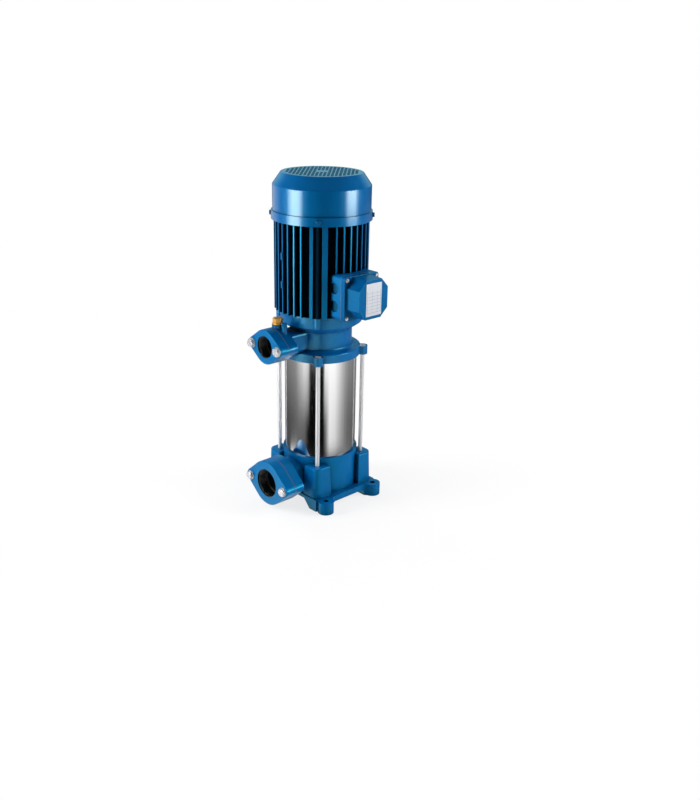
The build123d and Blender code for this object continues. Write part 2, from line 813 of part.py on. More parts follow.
with BuildPart() as shaft:
    for (bottom, radius), (top, _) in zip(shaft_steps, shaft_steps[1:]):
        with BuildSketch(Plane.XY.offset(bottom)):
            Circle(radius)
        extrude(amount=top - bottom)
    chamfer(shaft.edges().group_by(Axis.Z)[0], length=shaft_chamfer)
    chamfer(shaft.edges().group_by(Axis.Z)[-1], length=shaft_chamfer)
save(shaft, "shaft")

with BuildPart() as shaft_nut:
    with BuildSketch(Plane.XY.offset(sleeve_bottom - shaft_nut_height)):
        RegularPolygon(shaft_nut_size / 2, 6, major_radius=False)
        Circle(pump_shaft_radius + slide_fit, mode=Mode.SUBTRACT)
    extrude(amount=shaft_nut_height)
save(shaft_nut, "shaft_nut")

with BuildPart() as journal_sleeve:
    with BuildSketch(Plane.XY.offset(sleeve_bottom)):
        Circle(sleeve_radius)
        Circle(pump_shaft_radius + slide_fit, mode=Mode.SUBTRACT)
    extrude(amount=sleeve_length)
save(journal_sleeve, "journal_sleeve")

# Shaft seal: a fixed ring in the head and a sprung head that turns with the shaft
with BuildPart() as seal_seat:
    with BuildSketch(Plane.XY.offset(seal_web_height)):
        Circle(seal_seat_radius)
        Circle(seal_shaft_radius + running_gap, mode=Mode.SUBTRACT)
    extrude(amount=seal_seat_depth)
save(seal_seat, "seal_seat")

seal_head_bottom = seal_web_height - seal_gap - seal_head_length
with BuildPart() as seal_head:
    with BuildSketch(Plane.XY.offset(seal_head_bottom)):
        Circle(seal_head_radius)
    extrude(amount=seal_head_length / 3)
    with BuildSketch(Plane.XY.offset(seal_head_bottom)):
        Circle(seal_head_radius - seal_head_step)
    extrude(amount=seal_head_length)
    with BuildSketch(Plane.XY.offset(seal_head_bottom + seal_head_length * 2 / 3)):
        Circle(seal_head_radius)
    extrude(amount=seal_head_length / 6)
    with BuildSketch(Plane.XY.offset(seal_head_bottom)):
        Circle(seal_shaft_radius + slide_fit)
    extrude(amount=seal_head_length, mode=Mode.SUBTRACT)
save(seal_head, "seal_head")

# Shielded ball bearings: the outer ring carries the shields, the inner ring sits on the shaft
bearings = {
    "lower": (lower_bearing_height, lower_bearing_bore / 2, lower_bearing_outside / 2, lower_bearing_width),
    "upper": (upper_bearing_height, upper_bearing_bore / 2, upper_bearing_outside / 2, upper_bearing_width),
}
for end, (height, bore_radius, outside_radius, width) in bearings.items():
    with BuildPart() as bearing_outer:
        with BuildSketch(Plane.XY.offset(height)):
            Circle(outside_radius - press_fit)
            Circle(bore_radius + bearing_ring_wall + running_gap, mode=Mode.SUBTRACT)
        extrude(amount=width)
        with BuildSketch(Plane.XY.offset(height + bearing_shield_thickness)):
            Circle(outside_radius - bearing_ring_wall)
            Circle(bore_radius + bearing_ring_wall + running_gap, mode=Mode.SUBTRACT)
        extrude(amount=width - 2 * bearing_shield_thickness, mode=Mode.SUBTRACT)
    save(bearing_outer, f"{end}_bearing_outer")

    with BuildPart() as bearing_inner:
        with BuildSketch(Plane.XY.offset(height)):
            Circle(bore_radius + bearing_ring_wall)
            Circle(bore_radius + press_fit, mode=Mode.SUBTRACT)
        extrude(amount=width)
    save(bearing_inner, f"{end}_bearing_inner")

# Motor frame: finned barrel with ribs beside the tie bolts, and the base of the terminal box
terminal_middle = drum_top_height + terminal_rise + terminal_height / 2
terminal_face = fin_tip_radius + terminal_reach
barrel_radius = frame_bore_radius + frame_wall
terminal_floor = barrel_radius + terminal_floor_gap
knockout_x = terminal_face - knockout_depth_back
fin_root_radius = barrel_radius - root_sink
rib_angles = {narrow_rib_angle: narrow_rib_width, wide_rib_angle: wide_rib_width}
lid_screw_top = terminal_height / 2 - lid_screw_edge
with BuildPart() as motor_frame:
    with BuildSketch(Plane.XY.offset(drum_top_height)):
        Circle(barrel_radius)
        for side in range(4):
            first_angle = side * 90 - fin_pitch_angle * (fin_count_per_side - 1) / 2
            with PolarLocations(
                (fin_root_radius + fin_tip_radius) / 2,
                fin_count_per_side,
                start_angle=first_angle,
                angular_range=fin_pitch_angle * fin_count_per_side,
            ):
                Rectangle(fin_tip_radius - fin_root_radius, fin_thickness)
        for rib_angle, rib_width in rib_angles.items():
            for angle in (rib_angle, -rib_angle, 180 - rib_angle, 180 + rib_angle):
                with PolarLocations((fin_root_radius + fin_tip_radius) / 2, 1, start_angle=angle - 90):
                    Rectangle(fin_tip_radius - fin_root_radius, rib_width)
        with Locations(*tie_bolt_points):
            Circle(tie_bolt_boss_radius)
    extrude(amount=frame_height)
    with BuildSketch(box_plane(terminal_face, terminal_middle)):
        RectangleRounded(2 * terminal_half_width, terminal_height, terminal_corner_radius)
    extrude(amount=frame_bore_radius / 2 - terminal_face)
    for rise in fin_pad_rises:
        pad_plane = radial_plane(-fin_pitch_angle / 2, fin_tip_radius - root_sink, drum_top_height + rise)
        with BuildSketch(pad_plane):
            Rectangle(fin_pad_width, fin_pad_height)
        extrude(amount=fin_pad_depth)
    with BuildSketch(Plane.XY.offset(drum_top_height)):
        Circle(frame_bore_radius)
    extrude(amount=frame_height, mode=Mode.SUBTRACT)
    with BuildSketch(box_plane(terminal_face, terminal_middle)):
        RectangleRounded(
            2 * (terminal_half_width - terminal_wall),
            terminal_height - 2 * terminal_wall,
            terminal_cavity_corner,
        )
    extrude(amount=terminal_floor - terminal_face, mode=Mode.SUBTRACT)
    with BuildSketch(box_plane(terminal_floor, terminal_middle - lead_hole_drop)):
        Circle(lead_hole_radius)
    extrude(amount=frame_bore_radius / 2 - terminal_floor, mode=Mode.SUBTRACT)
    with BuildSketch(port_plane(terminal_half_width, terminal_middle)):
        with Locations((knockout_x, knockout_spacing / 2), (knockout_x, -knockout_spacing / 2)):
            Circle(knockout_diameter / 2)
    extrude(amount=-knockout_depth, mode=Mode.SUBTRACT)
    with BuildSketch(box_plane(terminal_face, terminal_middle)):
        with GridLocations(2 * lid_screw_half_spacing, 2 * lid_screw_top, 2, 2):
            Circle(lid_screw_diameter / 2 + slide_fit)
    extrude(amount=-lid_screw_length, mode=Mode.SUBTRACT)
    with BuildSketch(Plane.XY.offset(drum_top_height)):
        with Locations(*tie_bolt_points):
            Circle(tie_bolt_diameter / 2 + bolt_clearance)
    extrude(amount=frame_height, mode=Mode.SUBTRACT)
save(motor_frame, "motor_frame")

# Windings of the stator in its slots, and the laminated cores, the rotor's with the end rings of its cage
core_bottom_height = drum_top_height + core_start
core_top_height = core_bottom_height + core_height
slot_radius = stator_bore_radius + stator_slot_depth
with BuildPart() as stator_core:
    with BuildSketch(Plane.XY.offset(core_bottom_height)):
        Circle(frame_bore_radius - press_fit)
        Circle(stator_bore_radius, mode=Mode.SUBTRACT)
        with PolarLocations(stator_bore_radius + (stator_slot_depth - root_sink) / 2, stator_slot_count):
            Rectangle(stator_slot_depth + root_sink, stator_slot_width, mode=Mode.SUBTRACT)
    extrude(amount=core_height)
save(stator_core, "stator_core")

with BuildPart() as stator_windings:
    with BuildSketch(Plane.XY.offset(core_bottom_height)):
        with PolarLocations(stator_bore_radius + stator_slot_depth / 2, stator_slot_count):
            Rectangle(stator_slot_depth - 2 * winding_clearance, stator_slot_width - 2 * winding_clearance)
        Circle(stator_bore_radius + winding_bore_gap, mode=Mode.SUBTRACT)
    extrude(amount=core_height)
    for bottom in (core_bottom_height - winding_overhang, core_top_height):
        with BuildSketch(Plane.XY.offset(bottom)):
            Circle(slot_radius)
            Circle(stator_bore_radius + winding_bore_gap, mode=Mode.SUBTRACT)
        extrude(amount=winding_overhang)
save(stator_windings, "stator_windings")

with BuildPart() as rotor_core:
    with BuildSketch(Plane.XY.offset(core_bottom_height)):
        Circle(stator_bore_radius - air_gap)
        Circle(rotor_shaft_radius + press_fit, mode=Mode.SUBTRACT)
    extrude(amount=core_height)
    for bottom in (core_bottom_height - cage_ring_height, core_top_height):
        with BuildSketch(Plane.XY.offset(bottom)):
            Circle(stator_bore_radius - 2 * air_gap)
            Circle(stator_bore_radius - cage_ring_width, mode=Mode.SUBTRACT)
        extrude(amount=cage_ring_height)
save(rotor_core, "rotor_core")

# Upper end shield with the bearing seat, and the four tie bolts down into the drum
cover_bottom_height = frame_top_height - cover_overlap
cover_screw_height = cover_bottom_height + cover_band_height / 2
cover_screw_angles = (45, -45, 135, -135)
shield_rim_radius = cover_band_radius - cover_wall - slide_fit
with BuildPart() as upper_end_shield:
    with BuildSketch(Plane.XY.offset(frame_top_height)):
        Circle(shield_rim_radius)
    extrude(amount=end_shield_thickness)
    with BuildSketch(Plane.XY.offset(frame_top_height)):
        Circle(shield_rim_radius)
        Circle(shield_rim_radius - end_shield_rim_width, mode=Mode.SUBTRACT)
    extrude(amount=end_shield_rim_height)
    with BuildSketch(Plane.XY.offset(upper_bearing_height)):
        Circle(upper_bearing_outside / 2 + bearing_wall)
    extrude(amount=end_shield_top - upper_bearing_height)
    with BuildSketch(Plane.XY.offset(upper_bearing_height)):
        Circle(upper_bearing_outside / 2)
    extrude(amount=upper_bearing_width, mode=Mode.SUBTRACT)
    with BuildSketch(Plane.XY.offset(upper_bearing_height)):
        Circle(upper_bearing_bore / 2 + bearing_ring_wall + bearing_shoulder_gap)
    extrude(amount=end_shield_top - upper_bearing_height, mode=Mode.SUBTRACT)
    with BuildSketch(Plane.XY.offset(frame_top_height)):
        with Locations(*tie_bolt_points):
            Circle(tie_bolt_diameter / 2 + bolt_clearance)
    extrude(amount=end_shield_thickness, mode=Mode.SUBTRACT)
    for angle in cover_screw_angles:
        with BuildSketch(radial_plane(angle, cover_band_radius, cover_screw_height)):
            Circle(cover_screw_diameter / 2 + slide_fit)
        extrude(amount=-cover_screw_length, mode=Mode.SUBTRACT)
save(upper_end_shield, "upper_end_shield")

bolt_seat_height = frame_top_height + end_shield_thickness
with BuildPart() as motor_tie_bolts:
    with BuildSketch(Plane.XY.offset(drum_top_height - tie_bolt_engagement)):
        with Locations(*tie_bolt_points):
            Circle(tie_bolt_diameter / 2)
    extrude(amount=bolt_seat_height - drum_top_height + tie_bolt_engagement)
    with BuildSketch(Plane.XY.offset(bolt_seat_height)):
        with Locations(*tie_bolt_points):
            RegularPolygon(tie_bolt_head_size / 2, 6, major_radius=False)
    extrude(amount=tie_bolt_head_height)
save(motor_tie_bolts, "motor_tie_bolts")

# Fan on the shaft's upper end: hub, disc and straight radial blades
with BuildPart() as cooling_fan:
    with BuildSketch(Plane.XY.offset(fan_bottom_height)):
        Circle(fan_hub_radius)
    extrude(amount=fan_hub_height)
    with BuildSketch(Plane.XY.offset(fan_bottom_height)):
        Circle(fan_disc_radius)
    extrude(amount=fan_disc_thickness)
    with BuildSketch(Plane.XY.offset(fan_bottom_height)):
        with PolarLocations((fan_hub_radius - root_sink + fan_blade_radius) / 2, fan_blade_count):
            Rectangle(fan_blade_radius - fan_hub_radius + root_sink, fan_blade_thickness)
    extrude(amount=fan_blade_height)
    with BuildSketch(Plane.XY.offset(fan_bottom_height)):
        Circle(fan_shaft_radius + slide_fit)
    extrude(amount=fan_hub_height, mode=Mode.SUBTRACT)
save(cooling_fan, "cooling_fan")

# Fan cover: pressed shell with a wider band at its foot, a cone and a flat top pierced by square holes
cover_band_top = cover_bottom_height + cover_band_height
cover_shoulder_height = cover_band_top + cover_barrel_height
cover_top_height = cover_shoulder_height + cover_cone_height
hole_range = range(-int(grille_radius / grille_pitch), int(grille_radius / grille_pitch) + 1)
grille_points = [
    (column * grille_pitch, row * grille_pitch)
    for column in hole_range
    for row in hole_range
    if grille_hub_radius < math.hypot(column, row) * grille_pitch < grille_radius
]
with BuildPart() as fan_cover:
    with BuildSketch(Plane.XZ):
        with BuildLine():
            Polyline(
                (0, cover_bottom_height),
                (cover_band_radius, cover_bottom_height),
                (cover_band_radius, cover_band_top),
                (cover_radius, cover_band_top),
                (cover_radius, cover_shoulder_height),
                (cover_top_radius, cover_top_height),
                (0, cover_top_height),
                close=True,
            )
        make_face()
    revolve(axis=Axis.Z)
    fillet(fan_cover.edges().filter_by(GeomType.CIRCLE).group_by(Axis.Z)[-2:], radius=cover_shoulder_fillet)
    offset(amount=-cover_wall, openings=fan_cover.faces().sort_by(Axis.Z)[0])
    with BuildSketch(Plane.XY.offset(cover_top_height).rotated((0, 0, 45))):
        with Locations(*grille_points):
            Rectangle(grille_hole, grille_hole)
    extrude(amount=-cover_wall, mode=Mode.SUBTRACT)
    for angle in cover_screw_angles:
        with BuildSketch(radial_plane(angle, cover_band_radius, cover_screw_height)):
            Circle(cover_screw_diameter / 2 + bolt_clearance)
        extrude(amount=-2 * cover_wall, mode=Mode.SUBTRACT)
save(fan_cover, "fan_cover")

with BuildPart() as fan_cover_screws:
    for angle in cover_screw_angles:
        with BuildSketch(radial_plane(angle, cover_band_radius, cover_screw_height)):
            Circle(cover_screw_head_diameter / 2)
        extrude(amount=cover_screw_head_height)
        with BuildSketch(radial_plane(angle, cover_band_radius, cover_screw_height)):
            Circle(cover_screw_diameter / 2)
        extrude(amount=-cover_screw_length)
save(fan_cover_screws, "fan_cover_screws")

# Terminal box: gasket, deep lid with cut corners, screws, plate, and what the box holds
lid_back = terminal_face + terminal_gasket_thickness
lid_plate_front = lid_back + lid_plate_thickness
lid_front = lid_plate_front + lid_depth
lid_middle = terminal_middle + lid_rise
lid_inside = lid_front - lid_wall
capacitor_radius = capacitor_diameter / 2
capacitor_x = lid_inside - strap_wall - slide_fit - capacitor_radius
with BuildPart() as terminal_gasket:
    with BuildSketch(box_plane(terminal_face, terminal_middle)):
        RectangleRounded(2 * terminal_half_width, terminal_height, terminal_corner_radius)
        RectangleRounded(
            2 * (terminal_half_width - terminal_wall),
            terminal_height - 2 * terminal_wall,
            terminal_cavity_corner,
            mode=Mode.SUBTRACT,
        )
        with GridLocations(2 * lid_screw_half_spacing, 2 * lid_screw_top, 2, 2):
            Circle(lid_screw_diameter / 2 + bolt_clearance, mode=Mode.SUBTRACT)
    extrude(amount=terminal_gasket_thickness)
save(terminal_gasket, "terminal_gasket")

with BuildPart() as terminal_lid:
    with BuildSketch(box_plane(lid_back, terminal_middle)):
        RectangleRounded(2 * terminal_half_width, terminal_height, terminal_corner_radius)
    extrude(amount=lid_plate_thickness)
    with BuildSketch(box_plane(lid_plate_front, lid_middle)) as lid_outline:
        Rectangle(2 * lid_half_width, lid_height)
        chamfer(lid_outline.vertices(), length=lid_corner_y, length2=lid_corner_z)
    extrude(amount=lid_front - lid_plate_front, taper=lid_taper)
    with BuildSketch(box_plane(lid_back, lid_middle)) as lid_hollow:
        Rectangle(2 * (lid_half_width - lid_wall), lid_height - 2 * lid_wall)
        chamfer(lid_hollow.vertices(), length=lid_corner_y, length2=lid_corner_z)
    extrude(amount=lid_inside - lid_back, taper=lid_taper, mode=Mode.SUBTRACT)
    with BuildSketch(Plane.XY.offset(lid_middle - strap_width / 2)):
        with Locations((capacitor_x, 0)):
            Circle(capacitor_radius + slide_fit + strap_wall)
        with Locations((lid_inside, 0)):
            Rectangle(2 * strap_wall, capacitor_diameter)
        with Locations((capacitor_x, 0)):
            Circle(capacitor_radius + slide_fit, mode=Mode.SUBTRACT)
    extrude(amount=strap_width)
    with BuildSketch(box_plane(lid_plate_front, terminal_middle)):
        with GridLocations(2 * lid_screw_half_spacing, 2 * lid_screw_top, 2, 2):
            Circle(lid_screw_diameter / 2 + bolt_clearance)
    extrude(amount=-lid_plate_thickness, mode=Mode.SUBTRACT)
save(terminal_lid, "terminal_lid")

with BuildPart() as lid_screws:
    with BuildSketch(box_plane(lid_plate_front, terminal_middle)):
        with GridLocations(2 * lid_screw_half_spacing, 2 * lid_screw_top, 2, 2):
            Circle(lid_screw_head_diameter / 2)
    extrude(amount=lid_screw_head_height)
    with BuildSketch(box_plane(lid_plate_front, terminal_middle)):
        with GridLocations(2 * lid_screw_half_spacing, 2 * lid_screw_top, 2, 2):
            Circle(lid_screw_diameter / 2)
    extrude(amount=-lid_screw_length)
save(lid_screws, "lid_screws")

with BuildPart() as nameplate:
    with BuildSketch(box_plane(lid_front, lid_middle)):
        Rectangle(nameplate_width, nameplate_height)
    extrude(amount=nameplate_thickness)
save(nameplate, "nameplate")

board_face = terminal_floor + board_depth
with BuildPart() as terminal_board:
    with BuildSketch(box_plane(terminal_floor, terminal_middle)):
        Rectangle(board_width, board_height)
    extrude(amount=board_depth)
    with BuildSketch(box_plane(board_face, terminal_middle)):
        Rectangle(board_width, board_rib_width)
    extrude(amount=board_depth / 2)
    with BuildSketch(box_plane(board_face, terminal_middle)):
        with GridLocations(stud_spacing, 2 * stud_spacing, 3, 2):
            Circle(stud_diameter / 2 + slide_fit)
    extrude(amount=-board_depth / 2, mode=Mode.SUBTRACT)
save(terminal_board, "terminal_board")

with BuildPart() as terminal_studs:
    with BuildSketch(box_plane(board_face - board_depth / 2, terminal_middle)):
        with GridLocations(stud_spacing, 2 * stud_spacing, 3, 2):
            Circle(stud_diameter / 2)
    extrude(amount=stud_length)
    with BuildSketch(box_plane(board_face, terminal_middle)):
        with GridLocations(stud_spacing, 2 * stud_spacing, 3, 2):
            RegularPolygon(stud_nut_size / 2, 6, major_radius=False)
    extrude(amount=stud_nut_height)
save(terminal_studs, "terminal_studs")

with BuildPart() as run_capacitor:
    with BuildSketch(Plane.XY.offset(lid_middle - capacitor_length / 2)):
        with Locations((capacitor_x, 0)):
            Circle(capacitor_radius)
    extrude(amount=capacitor_length)
    fillet(run_capacitor.edges(), radius=capacitor_edge_radius)
save(run_capacitor, "run_capacitor")

# Hexagon plugs with their sealing washers: priming on the discharge flange, drain at the back of the casing
plug_seats = {
    "priming": Plane(origin=(priming_x, tapping_y, priming_boss_height), z_dir=(0, 0, 1)),
    "drain": Plane(origin=(0, drain_boss_face, drain_height), x_dir=(-1, 0, 0), z_dir=(0, 1, 0)),
}
for use, seat in plug_seats.items():
    with BuildPart() as plug_washer:
        with BuildSketch(seat):
            Circle(plug_flange_diameter / 2)
            Circle(plug_thread_diameter / 2 + running_gap, mode=Mode.SUBTRACT)
        extrude(amount=plug_washer_thickness)
    save(plug_washer, f"{use}_plug_washer")

    with BuildPart() as plug:
        with BuildSketch(seat.offset(plug_washer_thickness)):
            Circle(plug_thread_diameter / 2)
        extrude(amount=-plug_thread_length)
        with BuildSketch(seat.offset(plug_washer_thickness)):
            Circle(plug_flange_diameter / 2)
        extrude(amount=plug_flange_height)
        with BuildSketch(seat.offset(plug_washer_thickness)):
            RegularPolygon(plug_hex_size / 2, 6, major_radius=False)
        extrude(amount=plug_flange_height + plug_hex_height)
    save(plug, f"{use}_plug")

# Small plug of the gauge tapping beside the priming plug
with BuildPart() as gauge_plug:
    with BuildSketch(Plane.XY.offset(gauge_boss_height)):
        with Locations((gauge_x, tapping_y)):
            RegularPolygon(gauge_hex_size / 2, 6, major_radius=False)
    extrude(amount=gauge_hex_height)
    with BuildSketch(Plane.XY.offset(gauge_boss_height)):
        with Locations((gauge_x, tapping_y)):
            Circle(gauge_thread_diameter / 2)
    extrude(amount=-gauge_thread_length)
save(gauge_plug, "gauge_plug")
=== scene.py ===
import math

import bpy
from mathutils import Euler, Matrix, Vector


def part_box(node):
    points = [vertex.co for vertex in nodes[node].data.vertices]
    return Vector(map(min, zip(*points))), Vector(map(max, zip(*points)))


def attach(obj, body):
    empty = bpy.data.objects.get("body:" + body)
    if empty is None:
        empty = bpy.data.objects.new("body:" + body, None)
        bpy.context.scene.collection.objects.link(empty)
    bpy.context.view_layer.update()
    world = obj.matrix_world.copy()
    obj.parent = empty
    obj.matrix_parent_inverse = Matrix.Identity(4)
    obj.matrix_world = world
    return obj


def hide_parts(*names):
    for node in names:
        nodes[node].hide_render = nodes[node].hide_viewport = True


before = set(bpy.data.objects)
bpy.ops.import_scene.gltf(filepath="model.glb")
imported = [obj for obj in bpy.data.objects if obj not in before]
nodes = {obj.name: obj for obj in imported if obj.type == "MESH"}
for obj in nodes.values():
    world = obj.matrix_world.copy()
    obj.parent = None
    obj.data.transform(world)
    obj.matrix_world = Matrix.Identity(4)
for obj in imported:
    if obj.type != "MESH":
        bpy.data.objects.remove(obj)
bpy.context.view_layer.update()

# Camera: it stands to the front right and looks down on the pump. Its lens, its place and its slight roll
# are those of the photograph.
camera_data = bpy.data.cameras.new("photo_camera")
camera_data.lens = 41.44
camera_data.sensor_width = 36
camera_data.sensor_fit = "AUTO"
camera = bpy.data.objects.new("photo_camera", camera_data)
camera.location = (1.2798, -1.1315, 0.8619)
camera.rotation_euler = Euler((math.radians(68.616), math.radians(-1.099), math.radians(46.970)))
bpy.context.scene.collection.objects.link(camera)
bpy.context.scene.camera = camera
bpy.context.scene.view_settings.view_transform = "Standard"
camera_side = math.radians(48.5)


# Studio: two tall softboxes light the pump from left and right, a third from behind, and a wide one hangs
# overhead. Gloss shows none of them, but a dark tent around the stage, whose pale cards give the upright
# stripes of light. The pale floor takes the shadow.
def place_lamp(name, turn, distance, height, width, tall, power):
    """A softbox that stands at a turn from the camera's side, with its face to the shaft."""
    lamp_data = bpy.data.lights.new(name, "AREA")
    lamp_data.shape = "RECTANGLE"
    lamp_data.size = width
    lamp_data.size_y = tall
    lamp_data.energy = power
    lamp = bpy.data.objects.new(name, lamp_data)
    angle = camera_side + math.radians(turn)
    lamp.location = (distance * math.sin(angle), -distance * math.cos(angle), height)
    lamp.rotation_euler = Euler((math.radians(90), 0, angle))
    lamp.visible_glossy = False
    bpy.context.scene.collection.objects.link(lamp)
    return lamp


place_lamp("softbox_left", -82, 1.7, 1.10, 0.80, 1.50, 44)
place_lamp("softbox_right", 84, 1.7, 1.10, 0.80, 1.50, 36)
place_lamp("softbox_edge", -135, 1.7, 0.85, 0.60, 1.10, 12)
overhead = place_lamp("softbox_overhead", 180, 1.5, 2.2, 1.3, 1.3, 9)
overhead_tilt = math.radians(-34)
overhead.rotation_euler = Euler((overhead_tilt, 0, camera_side))


def set_node(node, **settings):
    """Settings that name an input of the node set or link that input, and the others set the node itself."""
    for name, value in settings.items():
        label = name.replace("_", " ")
        if label not in node.inputs:
            setattr(node, name, value)
        elif isinstance(value, bpy.types.NodeSocket):
            node.id_data.links.new(value, node.inputs[label])
        else:
            node.inputs[label].default_value = value


def add_node(tree, kind, **settings):
    """A new node in a tree, with its settings."""
    node = tree.nodes.new(kind)
    set_node(node, **settings)
    return node


def fill_inputs(node, values):
    """Sets or links a node's inputs one after the other, where several of them share a name."""
    for place, value in zip(node.inputs, values):
        if isinstance(value, bpy.types.NodeSocket):
            node.id_data.links.new(value, place)
        else:
            place.default_value = value


def reckon(tree, operation, *values):
    """One step of arithmetic."""
    node = add_node(tree, "ShaderNodeMath", operation=operation)
    fill_inputs(node, values)
    return node.outputs[0]


def blend(tree, factor, first, second, kind="RGBA"):
    """Passes from one colour or value to another."""
    node = add_node(tree, "ShaderNodeMix", data_type=kind, Factor=factor, A=first, B=second)
    return node.outputs["Result"]


world = bpy.data.worlds.new("studio")
bpy.context.scene.world = world
world.use_nodes = True
room = world.node_tree
room.nodes.clear()
ray = room.nodes.new("ShaderNodeLightPath").outputs
seen = reckon(room, "ADD", ray["Is Camera Ray"], ray["Is Glossy Ray"])
seen = reckon(room, "ADD", seen, ray["Is Transmission Ray"])
sky = add_node(room, "ShaderNodeBackground", Color=blend(room, seen, (0.2, 0.2, 0.21, 1), (1, 1, 1, 1)))
add_node(room, "ShaderNodeOutputWorld", Surface=sky.outputs["Background"])


def stage_mesh(name, points, faces):
    """A mesh that belongs to the studio and not to the pump."""
    mesh = bpy.data.meshes.new(name)
    mesh.from_pydata(points, [], faces)
    thing = bpy.data.objects.new(name, mesh)
    bpy.context.scene.collection.objects.link(thing)
    return thing


def blank_material(name):
    """A material with nothing in it yet."""
    blank = bpy.data.materials.new(name)
    blank.use_nodes = True
    blank.node_tree.nodes.clear()
    return blank, blank.node_tree


def own_place(tree):
    """The place of each point in its piece's own coordinates."""
    return tree.nodes.new("ShaderNodeTexCoord").outputs["Object"]


def reckon_vector(tree, operation, *values):
    """One step of arithmetic on vectors."""
    node = add_node(tree, "ShaderNodeVectorMath", operation=operation)
    fill_inputs(node, values)
    return node.outputs["Value" if operation in ("LENGTH", "DISTANCE") else "Vector"]


def rescale(tree, value, low, high, start=0.0, end=1.0, **settings):
    """Turns one range of values into another."""
    node = add_node(
        tree,
        "ShaderNodeMapRange",
        Value=value,
        From_Min=low,
        From_Max=high,
        To_Min=start,
        To_Max=end,
        **settings,
    )
    return node.outputs["Result"]


floor_reach = 6
floor_corners = [
    (-floor_reach, -floor_reach, 0),
    (floor_reach, -floor_reach, 0),
    (floor_reach, floor_reach, 0),
    (-floor_reach, floor_reach, 0),
]
floor = stage_mesh("floor", floor_corners, [(0, 1, 2, 3)])
floor.visible_glossy = False
shadow_reach = 0.12
white_reach = 0.55
shadow_tone = 0.78
paper, paper_tree = blank_material("pale_floor")
paper_glow = rescale(
    paper_tree,
    reckon_vector(paper_tree, "LENGTH", own_place(paper_tree)),
    shadow_reach,
    white_reach,
    shadow_tone,
    1.0,
    interpolation_type="SMOOTHSTEP",
)
paper_ray = paper_tree.nodes.new("ShaderNodeLightPath").outputs["Is Camera Ray"]
paper_matt = add_node(paper_tree, "ShaderNodeBsdfDiffuse", Color=(0.9, 0.9, 0.9, 1))
paper_white = paper_tree.nodes.new("ShaderNodeEmission")
paper_mix = paper_tree.nodes.new("ShaderNodeMixShader")
fill_inputs(
    paper_mix,
    (reckon(paper_tree, "MULTIPLY", paper_ray, paper_glow), paper_matt.outputs[0], paper_white.outputs[0]),
)
add_node(paper_tree, "ShaderNodeOutputMaterial", Surface=paper_mix.outputs[0])
floor.data.materials.append(paper)

tent_radius = 2.6
tent_foot = -2.4
tent_top = 4.0
tent_steps = 72
tent_points = []
tent_faces = [tuple(range(2 * tent_steps - 1, 0, -2))]
for step in range(tent_steps):
    angle = 2 * math.pi * step / tent_steps
    for height in (tent_foot, tent_top):
        tent_points.append((tent_radius * math.sin(angle), -tent_radius * math.cos(angle), height))
    low = 2 * step
    following = 2 * ((step + 1) % tent_steps)
    tent_faces.append((low, following, following + 1, low + 1))
screen = stage_mesh("screen", tent_points, tent_faces)
screen.rotation_euler = Euler((0, 0, camera_side))
screen.visible_camera = False
screen.visible_diffuse = False
screen.visible_transmission = False
screen.visible_shadow = False
cloth, cloth_tree = blank_material("studio_screen")
cloth_split = add_node(cloth_tree, "ShaderNodeSeparateXYZ", Vector=own_place(cloth_tree)).outputs
cloth_front = reckon(cloth_tree, "MULTIPLY", cloth_split["Y"], -1)
cloth_turn = reckon(cloth_tree, "ARCTAN2", cloth_split["X"], cloth_front)
cloth_share = rescale(cloth_tree, cloth_turn, -math.pi, math.pi)


def screen_ramp(strength, tones, tint=(1, 1, 1)):
    """Tones around the tent at one strength, by the turn in degrees from the camera's side."""
    ramp = add_node(cloth_tree, "ShaderNodeValToRGB", Fac=cloth_share)
    while len(ramp.color_ramp.elements) < len(tones):
        ramp.color_ramp.elements.new(0.5)
    for element, (turn, shade) in zip(ramp.color_ramp.elements, tones):
        element.position = (turn + 180) / 360
        element.color = (*(shade * part for part in tint), 1)
    gain = add_node(cloth_tree, "ShaderNodeVectorMath", operation="SCALE", Scale=strength)
    fill_inputs(gain, (ramp.outputs["Color"],))
    return gain.outputs["Vector"]


cards_foot = screen_ramp(1, (
    (-180, 0.02), (-118, 0.05), (-108, 1), (-86, 1), (-76, 0.1), (-60, 0.02), (60, 0.02), (90, 0.2),
    (180, 0.02),
))
cards_jacket_low = screen_ramp(1, (
    (-180, 0.08), (-131, 0.07), (-95, 0.09), (-67, 0.14), (-51, 0.11), (-40, 0), (11, 0), (19, 0.2),
    (30, 0.86), (48, 0.76), (63, 0.48), (80, 0.26), (99, 0.14), (123, 0.12), (180, 0.1),
))
cards_jacket_high = screen_ramp(1.1, (
    (-180, 0.16), (-131, 0.18), (-105, 0.22), (-84, 0.27), (-67, 0.52), (-51, 0.8), (-40, 0.7), (-33, 0),
    (9, 0), (14, 1), (46, 0.98), (63, 0.7), (80, 0.4), (99, 0.25), (123, 0.2), (180, 0.16),
))
cards_neck = screen_ramp(8, (
    (-180, 0.01), (-86, 0.04), (-71, 0.5), (-53, 0.5), (-45, 0.05), (-34, 0.6), (-10, 0.6), (0, 0.04),
    (10, 0.25), (40, 0.25), (52, 0.02), (180, 0.01),
))
cards_body = screen_ramp(8, (
    (-180, 0.01), (-162, 0.06), (-122, 0.06), (-106, 0.01), (-86, 0.04), (-71, 0.9), (-53, 0.9), (-43, 0.05),
    (-31, 0.002), (38, 0.002), (60, 0.01), (100, 0.01), (115, 0.03), (130, 0.03), (180, 0.01),
))
cards_cover = screen_ramp(9, (
    (-180, 0.003), (-165, 0.02), (-146, 0.07), (-124, 0.05), (-106, 0.004), (-86, 0.03), (-70, 1), (-54, 1),
    (-42, 0.05), (-31, 0.001), (38, 0.001), (53, 0.05), (63, 1), (78, 1), (92, 0.03), (107, 0.004),
    (180, 0.003),
))
